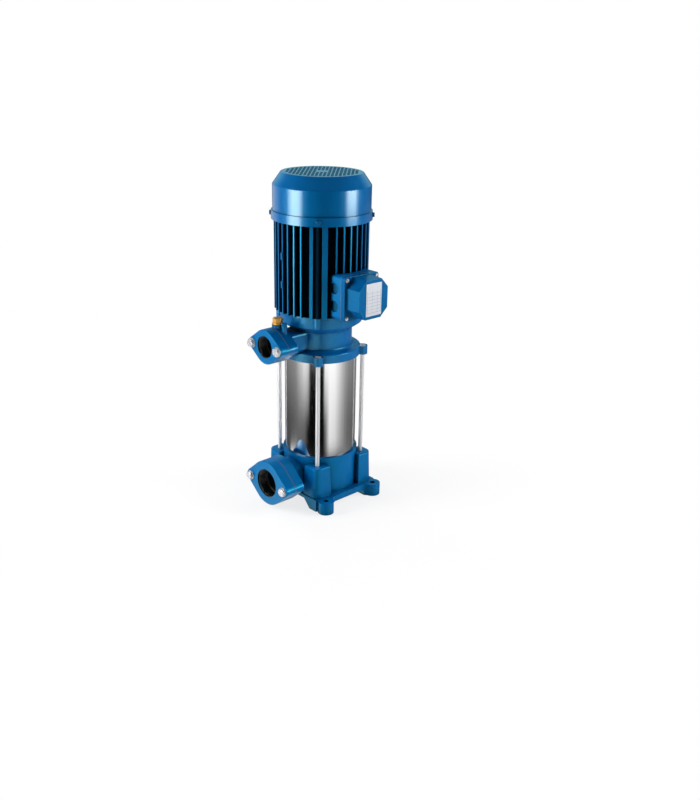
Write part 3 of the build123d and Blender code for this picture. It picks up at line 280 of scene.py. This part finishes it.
pale_blue = (0.5, 1.1, 1.25)
cards_top = screen_ramp(
    1, ((-180, 0.45), (-140, 0.4), (-115, 0.02), (115, 0.02), (140, 0.4), (180, 0.45)), pale_blue
)
bare_cloth = screen_ramp(1, ((-180, 0.03), (180, 0.03)))
cloth_all = cards_foot
for cards, low, high in (
    (cards_jacket_low, -1.08, -1.03),
    (cards_jacket_high, -0.90, -0.56),
    (cards_neck, -0.46, -0.40),
    (cards_body, -0.28, -0.20),
    (cards_cover, 0.05, 0.2),
    (cards_top, 0.7, 0.85),
    (bare_cloth, 1.7, 2.2),
):
    cloth_all = blend(cloth_tree, rescale(cloth_tree, cloth_split["Z"], low, high), cloth_all, cards)
cloth_glow = add_node(cloth_tree, "ShaderNodeEmission", Color=cloth_all)
add_node(cloth_tree, "ShaderNodeOutputMaterial", Surface=cloth_glow.outputs[0])
screen.data.materials.append(cloth)


# Castings: the suction casing, the pump head, both counter flanges and the gauge plug are grey iron under a
# thick blue enamel. It follows the sand grain, rounds the edges and goes dull in the nooks, where painted
# shade darkens it. The ports were bored after the casting, and painted shade makes their walls near-black.
def socket(tree, kind, name, way, default=None):
    """A named socket on a node group."""
    made = tree.interface.new_socket(name=name, in_out=way, socket_type=f"NodeSocket{kind}")
    if default is not None:
        made.default_value = default


enamel_film = bpy.data.node_groups.new("enamel_film", "ShaderNodeTree")
socket(enamel_film, "Color", "Paint", "INPUT", (0.0, 0.12, 0.36, 1))
socket(enamel_film, "Color", "Thick Paint", "INPUT", (0.0, 0.06, 0.2, 1))
socket(enamel_film, "Float", "Grain Size", "INPUT", 0.003)
socket(enamel_film, "Float", "Grain Height", "INPUT", 0.0002)
socket(enamel_film, "Float", "Gloss Low", "INPUT", 0.2)
socket(enamel_film, "Float", "Gloss High", "INPUT", 0.35)
socket(enamel_film, "Float", "Edge Round", "INPUT", 0.0006)
socket(enamel_film, "Float", "Corner Reach", "INPUT", 0.015)
socket(enamel_film, "Color", "Colour", "OUTPUT")
socket(enamel_film, "Float", "Roughness", "OUTPUT")
socket(enamel_film, "Vector", "Normal", "OUTPUT")
# Painted shade: the near-black that the enamel takes in nooks, as far as the ambient occlusion finds them.
nook_painted_shade = (0.0, 0.006, 0.022, 1)
nook_roughness = 0.9
film_in = enamel_film.nodes.new("NodeGroupInput").outputs
film_place = own_place(enamel_film)
film_grain = add_node(
    enamel_film,
    "ShaderNodeTexNoise",
    Vector=film_place,
    Scale=reckon(enamel_film, "DIVIDE", 1, film_in["Grain Size"]),
    Detail=4,
    Roughness=0.6,
).outputs["Fac"]
film_cloud = add_node(enamel_film, "ShaderNodeTexNoise", Vector=film_place, Scale=22, Detail=3).outputs["Fac"]
film_nook = add_node(
    enamel_film, "ShaderNodeAmbientOcclusion", samples=6, Distance=film_in["Corner Reach"]
).outputs["AO"]
film_paint = blend(
    enamel_film, rescale(enamel_film, film_cloud, 0.35, 0.75), film_in["Paint"], film_in["Thick Paint"]
)
film_gloss = rescale(enamel_film, film_grain, 0.3, 0.7, film_in["Gloss Low"], film_in["Gloss High"])
film_round = add_node(enamel_film, "ShaderNodeBevel", samples=4, Radius=film_in["Edge Round"])
film_bump = add_node(
    enamel_film,
    "ShaderNodeBump",
    Distance=film_in["Grain Height"],
    Height=film_grain,
    Normal=film_round.outputs["Normal"],
)
# The colour darkens to the painted shade where the ambient occlusion is low.
add_node(
    enamel_film,
    "NodeGroupOutput",
    Colour=blend(enamel_film, rescale(enamel_film, film_nook, 0.25, 0.9), nook_painted_shade, film_paint),
    Roughness=blend(
        enamel_film, rescale(enamel_film, film_nook, 0.2, 0.55), nook_roughness, film_gloss, "FLOAT"
    ),
    Normal=film_bump.outputs["Normal"],
)


def new_finish(name):
    """A material with nothing in it but its shader and its output."""
    finish, tree = blank_material(name)
    shader = tree.nodes.new("ShaderNodeBsdfPrincipled")
    add_node(tree, "ShaderNodeOutputMaterial", Surface=shader.outputs["BSDF"])
    return finish, tree, shader


def coat_cad(finish, *names):
    """Gives CAD nodes their finish."""
    for name in names:
        for place in nodes[name].material_slots:
            place.material = finish


def enamel(name, shine, tint, **film):
    """A blue enamel: the film group on a shader whose gloss takes the paint's own tint."""
    finish, tree, shader = new_finish(name)
    film_outputs = add_node(tree, "ShaderNodeGroup", node_tree=enamel_film, **film).outputs
    set_node(
        shader,
        Base_Color=film_outputs["Colour"],
        Roughness=film_outputs["Roughness"],
        Normal=film_outputs["Normal"],
        IOR=1.7,
        Specular_IOR_Level=shine,
        Specular_Tint=(*tint, 1),
    )
    return finish, film_outputs, shader


# A mask of the walls inside a port's bore, which take painted shade.
bore_shade_zone = bpy.data.node_groups.new("bore_shade_zone", "ShaderNodeTree")
socket(bore_shade_zone, "Vector", "Place", "INPUT")
socket(bore_shade_zone, "Float", "Height", "INPUT", 0.05)
socket(bore_shade_zone, "Float", "Radius", "INPUT", 0.02)
socket(bore_shade_zone, "Float", "Inside", "OUTPUT")
bore_back = -0.02
bore_in = bore_shade_zone.nodes.new("NodeGroupInput").outputs
bore_line = add_node(bore_shade_zone, "ShaderNodeCombineXYZ", Z=bore_in["Height"]).outputs[0]
bore_apart = reckon_vector(bore_shade_zone, "SUBTRACT", bore_in["Place"], bore_line)
bore_reach = reckon_vector(bore_shade_zone, "LENGTH", reckon_vector(bore_shade_zone, "MULTIPLY", bore_apart, (1, 0, 1)))
bore_split = add_node(bore_shade_zone, "ShaderNodeSeparateXYZ", Vector=bore_in["Place"]).outputs
add_node(
    bore_shade_zone,
    "NodeGroupOutput",
    Inside=reckon(
        bore_shade_zone,
        "MULTIPLY",
        reckon(bore_shade_zone, "LESS_THAN", bore_reach, bore_in["Radius"]),
        reckon(bore_shade_zone, "LESS_THAN", bore_split["Y"], bore_back),
    ),
)
bore_sizes = {"suction": 0.0283, "discharge": 0.021}
bore_margin = 0.0003
# Painted shade: the near-black put on the walls inside the ports.
bore_painted_shade = (0.012, 0.011, 0.011, 1)


def casting(name, tint, **grain):
    """The enamel of one casting, with painted near-black shade on the walls inside the ports."""
    finish, film, shader = enamel(
        name,
        0.9,
        tint,
        Paint=(0.0, 0.115, 0.35, 1),
        Thick_Paint=(0.0, 0.095, 0.3, 1),
        Edge_Round=0.0009,
        **grain,
    )
    tree = finish.node_tree
    place = own_place(tree)
    colour = film["Colour"]
    for port, bore_radius in bore_sizes.items():
        low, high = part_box(f"{port}_counter_flange")
        bore = add_node(
            tree,
            "ShaderNodeGroup",
            node_tree=bore_shade_zone,
            Place=place,
            Height=(low.z + high.z) / 2,
            Radius=bore_radius + bore_margin,
        )
        colour = blend(tree, bore.outputs["Inside"], colour, bore_painted_shade)
    set_node(shader, Base_Color=colour)
    return finish


smooth_casting = casting(
    "smooth_casting_enamel",
    (0.06, 0.8, 1),
    Grain_Size=0.0034,
    Grain_Height=0.0001,
    Gloss_Low=0.28,
    Gloss_High=0.34,
)
rough_casting = casting(
    "rough_casting_enamel",
    (0.2, 0.78, 1),
    Grain_Size=0.003,
    Grain_Height=0.0005,
    Gloss_Low=0.12,
    Gloss_High=0.2,
)
coat_cad(
    smooth_casting, "suction_casing", "suction_counter_flange", "discharge_counter_flange", "gauge_plug"
)
coat_cad(rough_casting, "pump_head")

# Gaskets: brown fibre sheet, punched to the outline of each flange and of the terminal box, and pinched
# between two faces.
gasket_sheet, gasket_tree, gasket_shader = new_finish("fibre_sheet")
gasket_fibres = add_node(gasket_tree, "ShaderNodeTexNoise", Vector=own_place(gasket_tree), Scale=900)
set_node(
    gasket_shader,
    Base_Color=blend(
        gasket_tree, gasket_fibres.outputs["Fac"], (0.07, 0.05, 0.035, 1), (0.2, 0.15, 0.1, 1)
    ),
    Roughness=0.8,
)
coat_cad(gasket_sheet, "suction_gasket", "discharge_gasket", "terminal_gasket")


# Flange bolts: plated hexagon bolts, two to each port, driven through a washer into the casting. The zinc is
# bright and slightly cloudy, and the corners of the heads are turned off at 30 degrees.
def start_tree(name, sizes):
    """A geometry tree with one input per size, and the points that carry the pieces."""
    tree = bpy.data.node_groups.new(name, "GeometryNodeTree")
    socket(tree, "Geometry", "Places", "INPUT")
    for size in sizes:
        socket(tree, "Float", size, "INPUT")
    socket(tree, "Material", "Finish", "INPUT")
    socket(tree, "Geometry", "Pieces", "OUTPUT")
    return tree, tree.nodes.new("NodeGroupInput").outputs


def end_tree(tree, start, *parts):
    """Joins the parts to one piece and sets it on every place, turned the way that the place faces."""
    piece = tree.nodes.new("GeometryNodeJoinGeometry")
    for part in parts:
        tree.links.new(part, piece.inputs[0])
    facing = add_node(tree, "GeometryNodeInputNamedAttribute", data_type="FLOAT_VECTOR", Name="faces")
    turn = add_node(tree, "FunctionNodeAlignRotationToVector", axis="Z", Vector=facing.outputs[0])
    spread = add_node(
        tree,
        "GeometryNodeInstanceOnPoints",
        Points=start["Places"],
        Instance=piece.outputs[0],
        Rotation=turn.outputs[0],
    )
    real = add_node(tree, "GeometryNodeRealizeInstances", Geometry=spread.outputs[0])
    painted = add_node(tree, "GeometryNodeSetMaterial", Geometry=real.outputs[0], Material=start["Finish"])
    add_node(tree, "NodeGroupOutput", Pieces=painted.outputs[0])


def moved(tree, piece, height):
    """A piece raised along its own axis by a height."""
    lift = add_node(tree, "ShaderNodeCombineXYZ", Z=height).outputs[0]
    return add_node(tree, "GeometryNodeTransform", Geometry=piece, Translation=lift).outputs[0]


def cylinder(tree, vertices, radius, depth):
    """An upright cylinder around its own middle."""
    node = add_node(tree, "GeometryNodeMeshCylinder", Vertices=vertices, Radius=radius, Depth=depth)
    return node.outputs["Mesh"]


hex_tree, hex_in = start_tree(
    "hexagon_screws",
    ("Across Flats", "Head Height", "Washer Radius", "Washer Thickness", "Shank Radius", "Shank Length"),
)


def of_head(share):
    """A share of the head's height."""
    return reckon(hex_tree, "MULTIPLY", hex_in["Head Height"], share)


# The round that is left on top of a head, as a share of its width across flats, and the cone that turns its
# corners off at 30 degrees around it, in shares of the head's height.
round_share = 0.47
cone_depth = 1.5
cone_top = -0.433
cone_bottom = 2.165
hex_corner = reckon(hex_tree, "DIVIDE", hex_in["Across Flats"], 3**0.5)
hex_round = reckon(hex_tree, "MULTIPLY", hex_in["Across Flats"], round_share)
hex_block = cylinder(hex_tree, 6, hex_corner, hex_in["Head Height"])
hex_turning = add_node(
    hex_tree,
    "GeometryNodeMeshCone",
    Vertices=32,
    Radius_Top=reckon(hex_tree, "ADD", hex_round, of_head(cone_top)),
    Radius_Bottom=reckon(hex_tree, "ADD", hex_round, of_head(cone_bottom)),
    Depth=of_head(cone_depth),
)
hex_head = add_node(hex_tree, "GeometryNodeMeshBoolean", operation="INTERSECT")
hex_tree.links.new(hex_block, hex_head.inputs["Mesh 2"])
hex_tree.links.new(
    moved(hex_tree, hex_turning.outputs["Mesh"], of_head(-cone_depth / 2)), hex_head.inputs["Mesh 2"]
)
hex_washer = cylinder(hex_tree, 32, hex_in["Washer Radius"], hex_in["Washer Thickness"])
hex_shank = cylinder(hex_tree, 24, hex_in["Shank Radius"], hex_in["Shank Length"])
end_tree(
    hex_tree,
    hex_in,
    moved(hex_tree, hex_shank, reckon(hex_tree, "MULTIPLY", hex_in["Shank Length"], -0.5)),
    moved(hex_tree, hex_washer, reckon(hex_tree, "MULTIPLY", hex_in["Washer Thickness"], 0.5)),
    moved(
        hex_tree, hex_head.outputs["Mesh"], reckon(hex_tree, "ADD", hex_in["Washer Thickness"], of_head(0.5))
    ),
)


def set_pieces(name, tree, places, finish, body, slot, **sizes):
    """Runs a tree on places, each a point and the way it faces, and keeps a plain mesh on one body."""
    mesh = bpy.data.meshes.new(name)
    mesh.from_pydata([point for point, _ in places], [], [])
    faces = mesh.attributes.new("faces", "FLOAT_VECTOR", "POINT")
    for index, (_, way) in enumerate(places):
        faces.data[index].vector = way
    carrier = bpy.data.objects.new(name + "_places", mesh)
    bpy.context.scene.collection.objects.link(carrier)
    modifier = carrier.modifiers.new("pieces", "NODES")
    modifier.node_group = tree
    identifiers = {
        entry.name: entry.identifier for entry in tree.interface.items_tree if entry.in_out == "INPUT"
    }
    for size, value in sizes.items():
        modifier[identifiers[size.replace("_", " ")]] = value
    modifier[identifiers["Finish"]] = finish
    made = bpy.data.meshes.new_from_object(carrier.evaluated_get(bpy.context.evaluated_depsgraph_get()))
    made.materials.clear()
    made.materials.append(finish)
    carrier.modifiers.remove(modifier)
    bpy.data.objects.remove(carrier)
    piece = bpy.data.objects.new(name, made)
    bpy.context.scene.collection.objects.link(piece)
    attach(piece, body)


def metal(name, colour, low, high, grain, height, stretch=(1, 1, 1), edge=0.0003, bare=1.0):
    """A bare or plated metal whose shine wanders a little with its grain."""
    finish, tree, shader = new_finish(name)
    stretched = add_node(tree, "ShaderNodeMapping", Vector=own_place(tree), Scale=stretch).outputs["Vector"]
    noise = add_node(tree, "ShaderNodeTexNoise", Vector=stretched, Scale=1 / grain, Detail=3).outputs["Fac"]
    edges = add_node(tree, "ShaderNodeBevel", samples=4, Radius=edge)
    bump = add_node(tree, "ShaderNodeBump", Distance=height, Height=noise, Normal=edges.outputs["Normal"])
    set_node(
        shader,
        Base_Color=blend(tree, noise, (*(0.82 * part for part in colour), 1), (*colour, 1)),
        Metallic=bare,
        Roughness=rescale(tree, noise, 0.0, 1.0, low, high),
        Normal=bump.outputs["Normal"],
    )
    return finish


zinc = metal("bright_zinc", (0.85, 0.85, 0.86), 0.18, 0.34, 0.0016, 0.00002, bare=0.6)
bolt_head = 0.0050
bolt_washer = 0.0014
# Half the width across flats of the solid heads, which point their corners to the sides.
solid_half_flats = 0.008
for port in ("suction", "discharge"):
    low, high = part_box(f"{port}_flange_bolts")
    bolt_x = high.x - solid_half_flats / math.cos(math.radians(30))
    seat_y = low.y + bolt_head + bolt_washer
    set_pieces(
        f"{port}_bolts",
        hex_tree,
        [((side * bolt_x, seat_y, (low.z + high.z) / 2), (0, -1, 0)) for side in (-1, 1)],
        zinc,
        "pump",
        "plated_steel",
        Across_Flats=0.0145,
        Head_Height=bolt_head,
        Washer_Radius=0.0092,
        Washer_Thickness=bolt_washer,
        Shank_Radius=0.005,
        Shank_Length=high.y - seat_y,
    )
    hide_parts(f"{port}_flange_bolts")
coat_cad(
    zinc, "suction_flange_bolts", "discharge_flange_bolts", "tie_rod_washers", "motor_tie_bolts", "shaft_nut"
)

# Port threads: a pipe thread cut in the bore of each counter flange, eleven turns to the inch, and left bare
# and dark with oil. It starts and ends a little inside the flange's faces.
thread_tree, thread_in = start_tree("pipe_thread", ("Bore Radius", "Length", "Pitch", "Depth"))
thread_path = add_node(
    thread_tree,
    "GeometryNodeCurveSpiral",
    Resolution=56,
    Rotations=reckon(thread_tree, "DIVIDE", thread_in["Length"], thread_in["Pitch"]),
    Start_Radius=thread_in["Bore Radius"],
    End_Radius=thread_in["Bore Radius"],
    Height=thread_in["Length"],
)
thread_profile = add_node(
    thread_tree, "GeometryNodeCurvePrimitiveCircle", Resolution=4, Radius=thread_in["Depth"]
)
thread_ridge = add_node(
    thread_tree,
    "GeometryNodeCurveToMesh",
    Curve=thread_path.outputs[0],
    Profile_Curve=thread_profile.outputs[0],
    Fill_Caps=True,
)
end_tree(thread_tree, thread_in, thread_ridge.outputs[0])
cut_iron = metal("cut_iron", (0.2, 0.19, 0.18), 0.3, 0.5, 0.002, 0.00005)
thread_start = 0.0008
thread_ends = 0.003
thread_inset = 0.0002
for port, bore_radius in bore_sizes.items():
    low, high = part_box(f"{port}_counter_flange")
    set_pieces(
        f"{port}_thread",
        thread_tree,
        [((0, high.y - thread_start, (low.z + high.z) / 2), (0, -1, 0))],
        cut_iron,
        "pump",
        "casting_paint",
        Bore_Radius=bore_radius - thread_inset,
        Length=high.y - low.y - thread_ends,
        Pitch=0.002309,
        Depth=0.0009,
    )

# Jacket: a tube of bright stainless sheet, held between the casing and the head. It was polished round its
# girth, and the faint lines of that run round it.
jacket_steel, jacket_tree, jacket_shader = new_finish("polished_stainless")
jacket_stretch = add_node(
    jacket_tree, "ShaderNodeMapping", Vector=own_place(jacket_tree), Scale=(1, 1, 60)
)
jacket_lines = add_node(
    jacket_tree, "ShaderNodeTexNoise", Vector=jacket_stretch.outputs["Vector"], Scale=60, Detail=4
).outputs["Fac"]
jacket_bump = add_node(jacket_tree, "ShaderNodeBump", Distance=0.000004, Height=jacket_lines)
set_node(
    jacket_shader,
    Base_Color=(0.93, 0.93, 0.94, 1),
    Metallic=1,
    Roughness=rescale(jacket_tree, jacket_lines, 0.0, 1.0, 0.06, 0.13),
    Normal=jacket_bump.outputs["Normal"],
)
coat_cad(jacket_steel, "outer_jacket")

# Tie rods: bright drawn bars that hold head and casing together round the jacket. The shaft and its sleeve
# are the same drawn steel.
drawn_steel = metal("drawn_steel", (0.95, 0.95, 0.96), 0.3, 0.4, 0.004, 0.00002, (1, 1, 0.05), bare=0.5)
coat_cad(drawn_steel, "tie_rods", "shaft", "journal_sleeve")

# Stages: impellers, bowls, spacers and plates, pressed from stainless sheet, stacked round the shaft and
# closed inside the jacket.
sheet_steel = metal("pressed_stainless", (0.7, 0.71, 0.72), 0.22, 0.4, 0.003, 0.00003)
stage_names = [f"{kind}_{number}" for kind in ("stage_bowl", "impeller") for number in range(1, 8)]
coat_cad(sheet_steel, *stage_names, "inlet_plate", "stage_spacers", "stack_ring", "seal_head")

# Bearings: ground rings with a mirror finish. The laminated cores of stator and rotor are under thin
# varnish, and so is the copper of the windings.
ground_steel = metal("ground_steel", (0.8, 0.8, 0.83), 0.08, 0.16, 0.002, 0.00001)
bearing_names = [f"{end}_bearing_{ring}" for end in ("lower", "upper") for ring in ("outer", "inner")]
coat_cad(ground_steel, *bearing_names)
laminations = metal("laminations", (0.3, 0.3, 0.32), 0.4, 0.6, 0.0006, 0.00005, (0.05, 0.05, 1))
coat_cad(laminations, "stator_core", "rotor_core")
copper = metal("varnished_copper", (0.75, 0.3, 0.12), 0.25, 0.4, 0.0012, 0.0002, (1, 1, 0.1))
coat_cad(copper, "stator_windings")


# Rubber, carbon and moulded plastic: seals, the seal's fixed ring, the foot bush, the fan, the capacitor and
# the terminal board. Each is a dull dark moulding with a faint grain.
def moulding(name, colour, roughness, grain):
    """A moulded or pressed material with a fine grain."""
    finish, tree, shader = new_finish(name)
    noise = add_node(tree, "ShaderNodeTexNoise", Vector=own_place(tree), Scale=1 / grain).outputs["Fac"]
    set_node(
        shader,
        Base_Color=blend(tree, noise, (*(0.7 * part for part in colour), 1), (*colour, 1)),
        Roughness=roughness,
        Normal=add_node(tree, "ShaderNodeBump", Distance=grain / 12, Height=noise).outputs["Normal"],
    )
    return finish


seal_rubber = moulding("seal_rubber", (0.02, 0.02, 0.02), 0.6, 0.0008)
coat_cad(seal_rubber, "jacket_seals", "priming_plug_washer", "drain_plug_washer")
carbon = moulding("dark_carbon", (0.04, 0.04, 0.045), 0.45, 0.0004)
coat_cad(carbon, "seal_seat", "bottom_bush")
black_moulding = moulding("black_moulding", (0.015, 0.015, 0.017), 0.4, 0.0006)
coat_cad(black_moulding, "cooling_fan", "run_capacitor")
brown_moulding = moulding("brown_moulding", (0.13, 0.07, 0.04), 0.35, 0.0006)
coat_cad(brown_moulding, "terminal_board")

# Motor frame: die-cast aluminium with upright fins, sprayed with the same blue. The deep channels between
# the fins are dull, and painted shade makes them almost black and takes their highlights. Painted shade also
# darkens the two shut knockouts in the side of the terminal box.
motor_enamel, motor_film, motor_shader = enamel(
    "motor_enamel",
    0.9,
    (0.06, 0.8, 1),
    Paint=(0.0, 0.12, 0.37, 1),
    Thick_Paint=(0.0, 0.09, 0.30, 1),
    Grain_Size=0.0022,
    Grain_Height=0.00005,
    Corner_Reach=0.006,
    Gloss_Low=0.26,
    Gloss_High=0.32,
    Edge_Round=0.0005,
)
motor_tree = motor_enamel.node_tree
motor_place = own_place(motor_tree)
# Painted shade in the fin channels: near-black and metallic deep down, fading out towards the fin tips.
channel_radius = 0.0850
tip_radius = 0.0893
channel_shade_share = 0.96
channel_painted_shade = (0.006, 0.014, 0.020, 1)
channel_roughness = 0.95
motor_reach = reckon_vector(
    motor_tree, "LENGTH", reckon_vector(motor_tree, "MULTIPLY", motor_place, (1, 1, 0))
)
motor_channel_shade = rescale(
    motor_tree, motor_reach, channel_radius, tip_radius, channel_shade_share, 0.0, interpolation_type="SMOOTHSTEP"
)
motor_colour = blend(motor_tree, motor_channel_shade, motor_film["Colour"], channel_painted_shade)
box_low, box_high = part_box("terminal_gasket")
box_middle = (box_low.z + box_high.z) / 2
# Painted shade: the knockouts' discs are painted darker, as shade in a shallow recess.
knockout_setback = 0.0174
knockout_sink = 0.001
knockout_rise = 0.0165
knockout_radius = 0.0104
knockout_rim = 0.0109
knockout_shade_share = 0.75
knockout_painted_shade = (0.0, 0.012, 0.045, 1)
for side in (-1, 1):
    centre = (box_low.x - knockout_setback, box_low.y + knockout_sink, box_middle + side * knockout_rise)
    apart = reckon_vector(motor_tree, "DISTANCE", motor_place, centre)
    knockout = rescale(motor_tree, apart, knockout_radius, knockout_rim, knockout_shade_share, 0)
    motor_colour = blend(motor_tree, knockout, motor_colour, knockout_painted_shade)
# The channel shade drives Metallic too, so the near-black takes the highlights out of the channels.
set_node(
    motor_shader,
    Base_Color=motor_colour,
    Metallic=motor_channel_shade,
    Roughness=blend(motor_tree, motor_channel_shade, motor_film["Roughness"], channel_roughness, "FLOAT"),
)
coat_cad(motor_enamel, "motor_frame", "upper_end_shield")

# Fan cover: deep-drawn sheet steel with a smooth, glossy coat of the blue, held by four hexagon screws that
# were painted with it.
cover_enamel, _, cover_shader = enamel(
    "cover_enamel",
    0.5,
    (0.0, 0.8, 1),
    Paint=(0.0, 0.105, 0.32, 1),
    Thick_Paint=(0.0, 0.095, 0.3, 1),
    Grain_Size=0.0016,
    Grain_Height=0.000006,
    Gloss_Low=0.3,
    Gloss_High=0.34,
    Edge_Round=0.0006,
)
set_node(cover_shader, Coat_Weight=1, Coat_Roughness=0.1, Coat_IOR=1.6)
screw_low, screw_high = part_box("fan_cover_screws")
band_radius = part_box("fan_cover")[1].x
screw_height = (screw_low.z + screw_high.z) / 2
screw_places = []
for turn in (45, 135, 225, 315):
    way = Vector((math.cos(math.radians(turn)), math.sin(math.radians(turn)), 0))
    screw_places.append(((*(way * band_radius).xy, screw_height), way))
set_pieces(
    "cover_screws",
    hex_tree,
    screw_places,
    cover_enamel,
    "pump",
    "plated_steel",
    Across_Flats=0.008,
    Head_Height=0.0028,
    Washer_Radius=0.005,
    Washer_Thickness=0.0006,
    Shank_Radius=0.0025,
    Shank_Length=0.008,
)
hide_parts("fan_cover_screws")
coat_cad(cover_enamel, "fan_cover", "fan_cover_screws")

# Terminal lid: a deep cast lid in the blue enamel, flat-faced with cut corners, under four pan-head screws
# with a cross recess.
# Painted shade: the lid's blue is a darker copy of the enamel, for the shade on its face.
lid_enamel, _, _ = enamel(
    "lid_enamel",
    0.6,
    (0.06, 0.8, 1),
    Paint=(0.0, 0.09, 0.28, 1),
    Thick_Paint=(0.0, 0.082, 0.255, 1),
    Grain_Size=0.002,
    Grain_Height=0.00001,
    Gloss_Low=0.22,
    Gloss_High=0.28,
    Edge_Round=0.0009,
)
coat_cad(lid_enamel, "terminal_lid")
pan_tree, pan_in = start_tree(
    "pan_screws",
    ("Head Radius", "Head Height", "Recess Width", "Recess Depth", "Shank Radius", "Shank Length"),
)
pan_ball = add_node(
    pan_tree, "GeometryNodeMeshUVSphere", Segments=24, Rings=12, Radius=pan_in["Head Radius"]
)
pan_flatten = add_node(
    pan_tree,
    "ShaderNodeCombineXYZ",
    X=1.0,
    Y=1.0,
    Z=reckon(pan_tree, "DIVIDE", pan_in["Head Height"], pan_in["Head Radius"]),
)
pan_dome = add_node(
    pan_tree, "GeometryNodeTransform", Geometry=pan_ball.outputs["Mesh"], Scale=pan_flatten.outputs[0]
)
pan_slots = pan_tree.nodes.new("GeometryNodeJoinGeometry")
for x_size, y_size in (("Head Radius", "Recess Width"), ("Recess Width", "Head Radius")):
    slot_size = add_node(
        pan_tree, "ShaderNodeCombineXYZ", X=pan_in[x_size], Y=pan_in[y_size], Z=pan_in["Recess Depth"]
    )
    slot_cut = add_node(pan_tree, "GeometryNodeMeshCube", Size=slot_size.outputs[0])
    pan_tree.links.new(slot_cut.outputs["Mesh"], pan_slots.inputs[0])
pan_head = add_node(pan_tree, "GeometryNodeMeshBoolean", operation="DIFFERENCE")
pan_tree.links.new(pan_dome.outputs[0], pan_head.inputs["Mesh 1"])
pan_tree.links.new(moved(pan_tree, pan_slots.outputs[0], pan_in["Head Height"]), pan_head.inputs["Mesh 2"])
pan_shank = cylinder(pan_tree, 16, pan_in["Shank Radius"], pan_in["Shank Length"])
end_tree(
    pan_tree,
    pan_in,
    pan_head.outputs["Mesh"],
    moved(pan_tree, pan_shank, reckon(pan_tree, "MULTIPLY", pan_in["Shank Length"], -0.5)),
)
lid_low, lid_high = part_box("lid_screws")
head_radius = 0.004
head_height = 0.003
lid_places = []
for y in (lid_low.y + head_radius, lid_high.y - head_radius):
    for z in (lid_low.z + head_radius, lid_high.z - head_radius):
        lid_places.append(((lid_high.x - head_height, y, z), (1, 0, 0)))
set_pieces(
    "box_screws",
    pan_tree,
    lid_places,
    zinc,
    "pump",
    "plated_steel",
    Head_Radius=head_radius,
    Head_Height=head_height,
    Recess_Width=0.0009,
    Recess_Depth=0.0026,
    Shank_Radius=0.002,
    Shank_Length=0.02,
)
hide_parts("lid_screws")
coat_cad(zinc, "lid_screws")

# Nameplate: a satin aluminium plate with a blank printed form on it, thin ruled lines and empty boxes. Two
# flat rivets hold it to the lid.
plate_metal, plate_tree, plate_shader = new_finish("plate_aluminium")
plate_low, plate_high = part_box("nameplate")
plate_middle = (plate_low.z + plate_high.z) / 2
form_half_width = 0.0165
form_half_height = 0.0205
form_drop = 0.004
row_gap = 0.003
column_gap = 0.0065
column_shift = 0.004
line_half_width = 0.00018
border_half_width = 0.0003
plate_shine = 0.4
plate_centred = add_node(
    plate_tree, "ShaderNodeMapping", Vector=own_place(plate_tree), Location=(0, 0, -plate_middle)
).outputs["Vector"]
plate_split = add_node(plate_tree, "ShaderNodeSeparateXYZ", Vector=plate_centred).outputs
across, up = plate_split["Y"], plate_split["Z"]


def near(value, limit):
    """A mask of the points whose value lies within a limit of nought, to either side."""
    return reckon(plate_tree, "LESS_THAN", reckon(plate_tree, "ABSOLUTE", value), limit)


rows = near(reckon(plate_tree, "PINGPONG", up, row_gap), line_half_width)
shifted = reckon(plate_tree, "ADD", across, column_shift)
columns = near(reckon(plate_tree, "PINGPONG", shifted, column_gap), line_half_width)
in_height = near(reckon(plate_tree, "ADD", up, form_drop), form_half_height)
in_form = reckon(plate_tree, "MULTIPLY", near(across, form_half_width), in_height)
from_border = reckon(plate_tree, "SUBTRACT", reckon(plate_tree, "ABSOLUTE", across), form_half_width)
border = reckon(plate_tree, "MULTIPLY", near(from_border, border_half_width), in_height)
ruled = reckon(plate_tree, "MULTIPLY", reckon(plate_tree, "MAXIMUM", rows, columns), in_form)
ink = reckon(plate_tree, "MAXIMUM", ruled, border)
plate_grain = add_node(plate_tree, "ShaderNodeTexNoise", Vector=plate_centred, Scale=1500).outputs["Fac"]
plate_tone = blend(plate_tree, plate_grain, (0.58, 0.60, 0.64, 1), (0.68, 0.70, 0.74, 1))
set_node(
    plate_shader,
    Base_Color=blend(plate_tree, ink, plate_tone, (0.12, 0.16, 0.32, 1)),
    Metallic=reckon(plate_tree, "SUBTRACT", plate_shine, ink),
    Roughness=rescale(plate_tree, ink, 0.0, 1.0, 0.34, 0.6),
)
coat_cad(plate_metal, "nameplate")
rivet_rise = 0.0265
rivet_sink = 0.00025
set_pieces(
    "plate_rivets",
    pan_tree,
    [((plate_high.x - rivet_sink, 0, plate_middle + side * rivet_rise), (1, 0, 0)) for side in (-1, 1)],
    zinc,
    "pump",
    "plated_steel",
    Head_Radius=0.0016,
    Head_Height=0.00019,
    Recess_Width=0.0003,
    Recess_Depth=0.0002,
    Shank_Radius=0.001,
    Shank_Length=0.002,
)

# Plugs: turned brass hexagon plugs, the priming plug on the discharge flange and the drain plug behind the
# casing. The six studs of the terminal board are the same brass.
brass = metal("turned_brass", (0.95, 0.5, 0.1), 0.25, 0.4, 0.0012, 0.00003, edge=0.0007, bare=0.55)
coat_cad(brass, "priming_plug", "drain_plug", "terminal_studs")
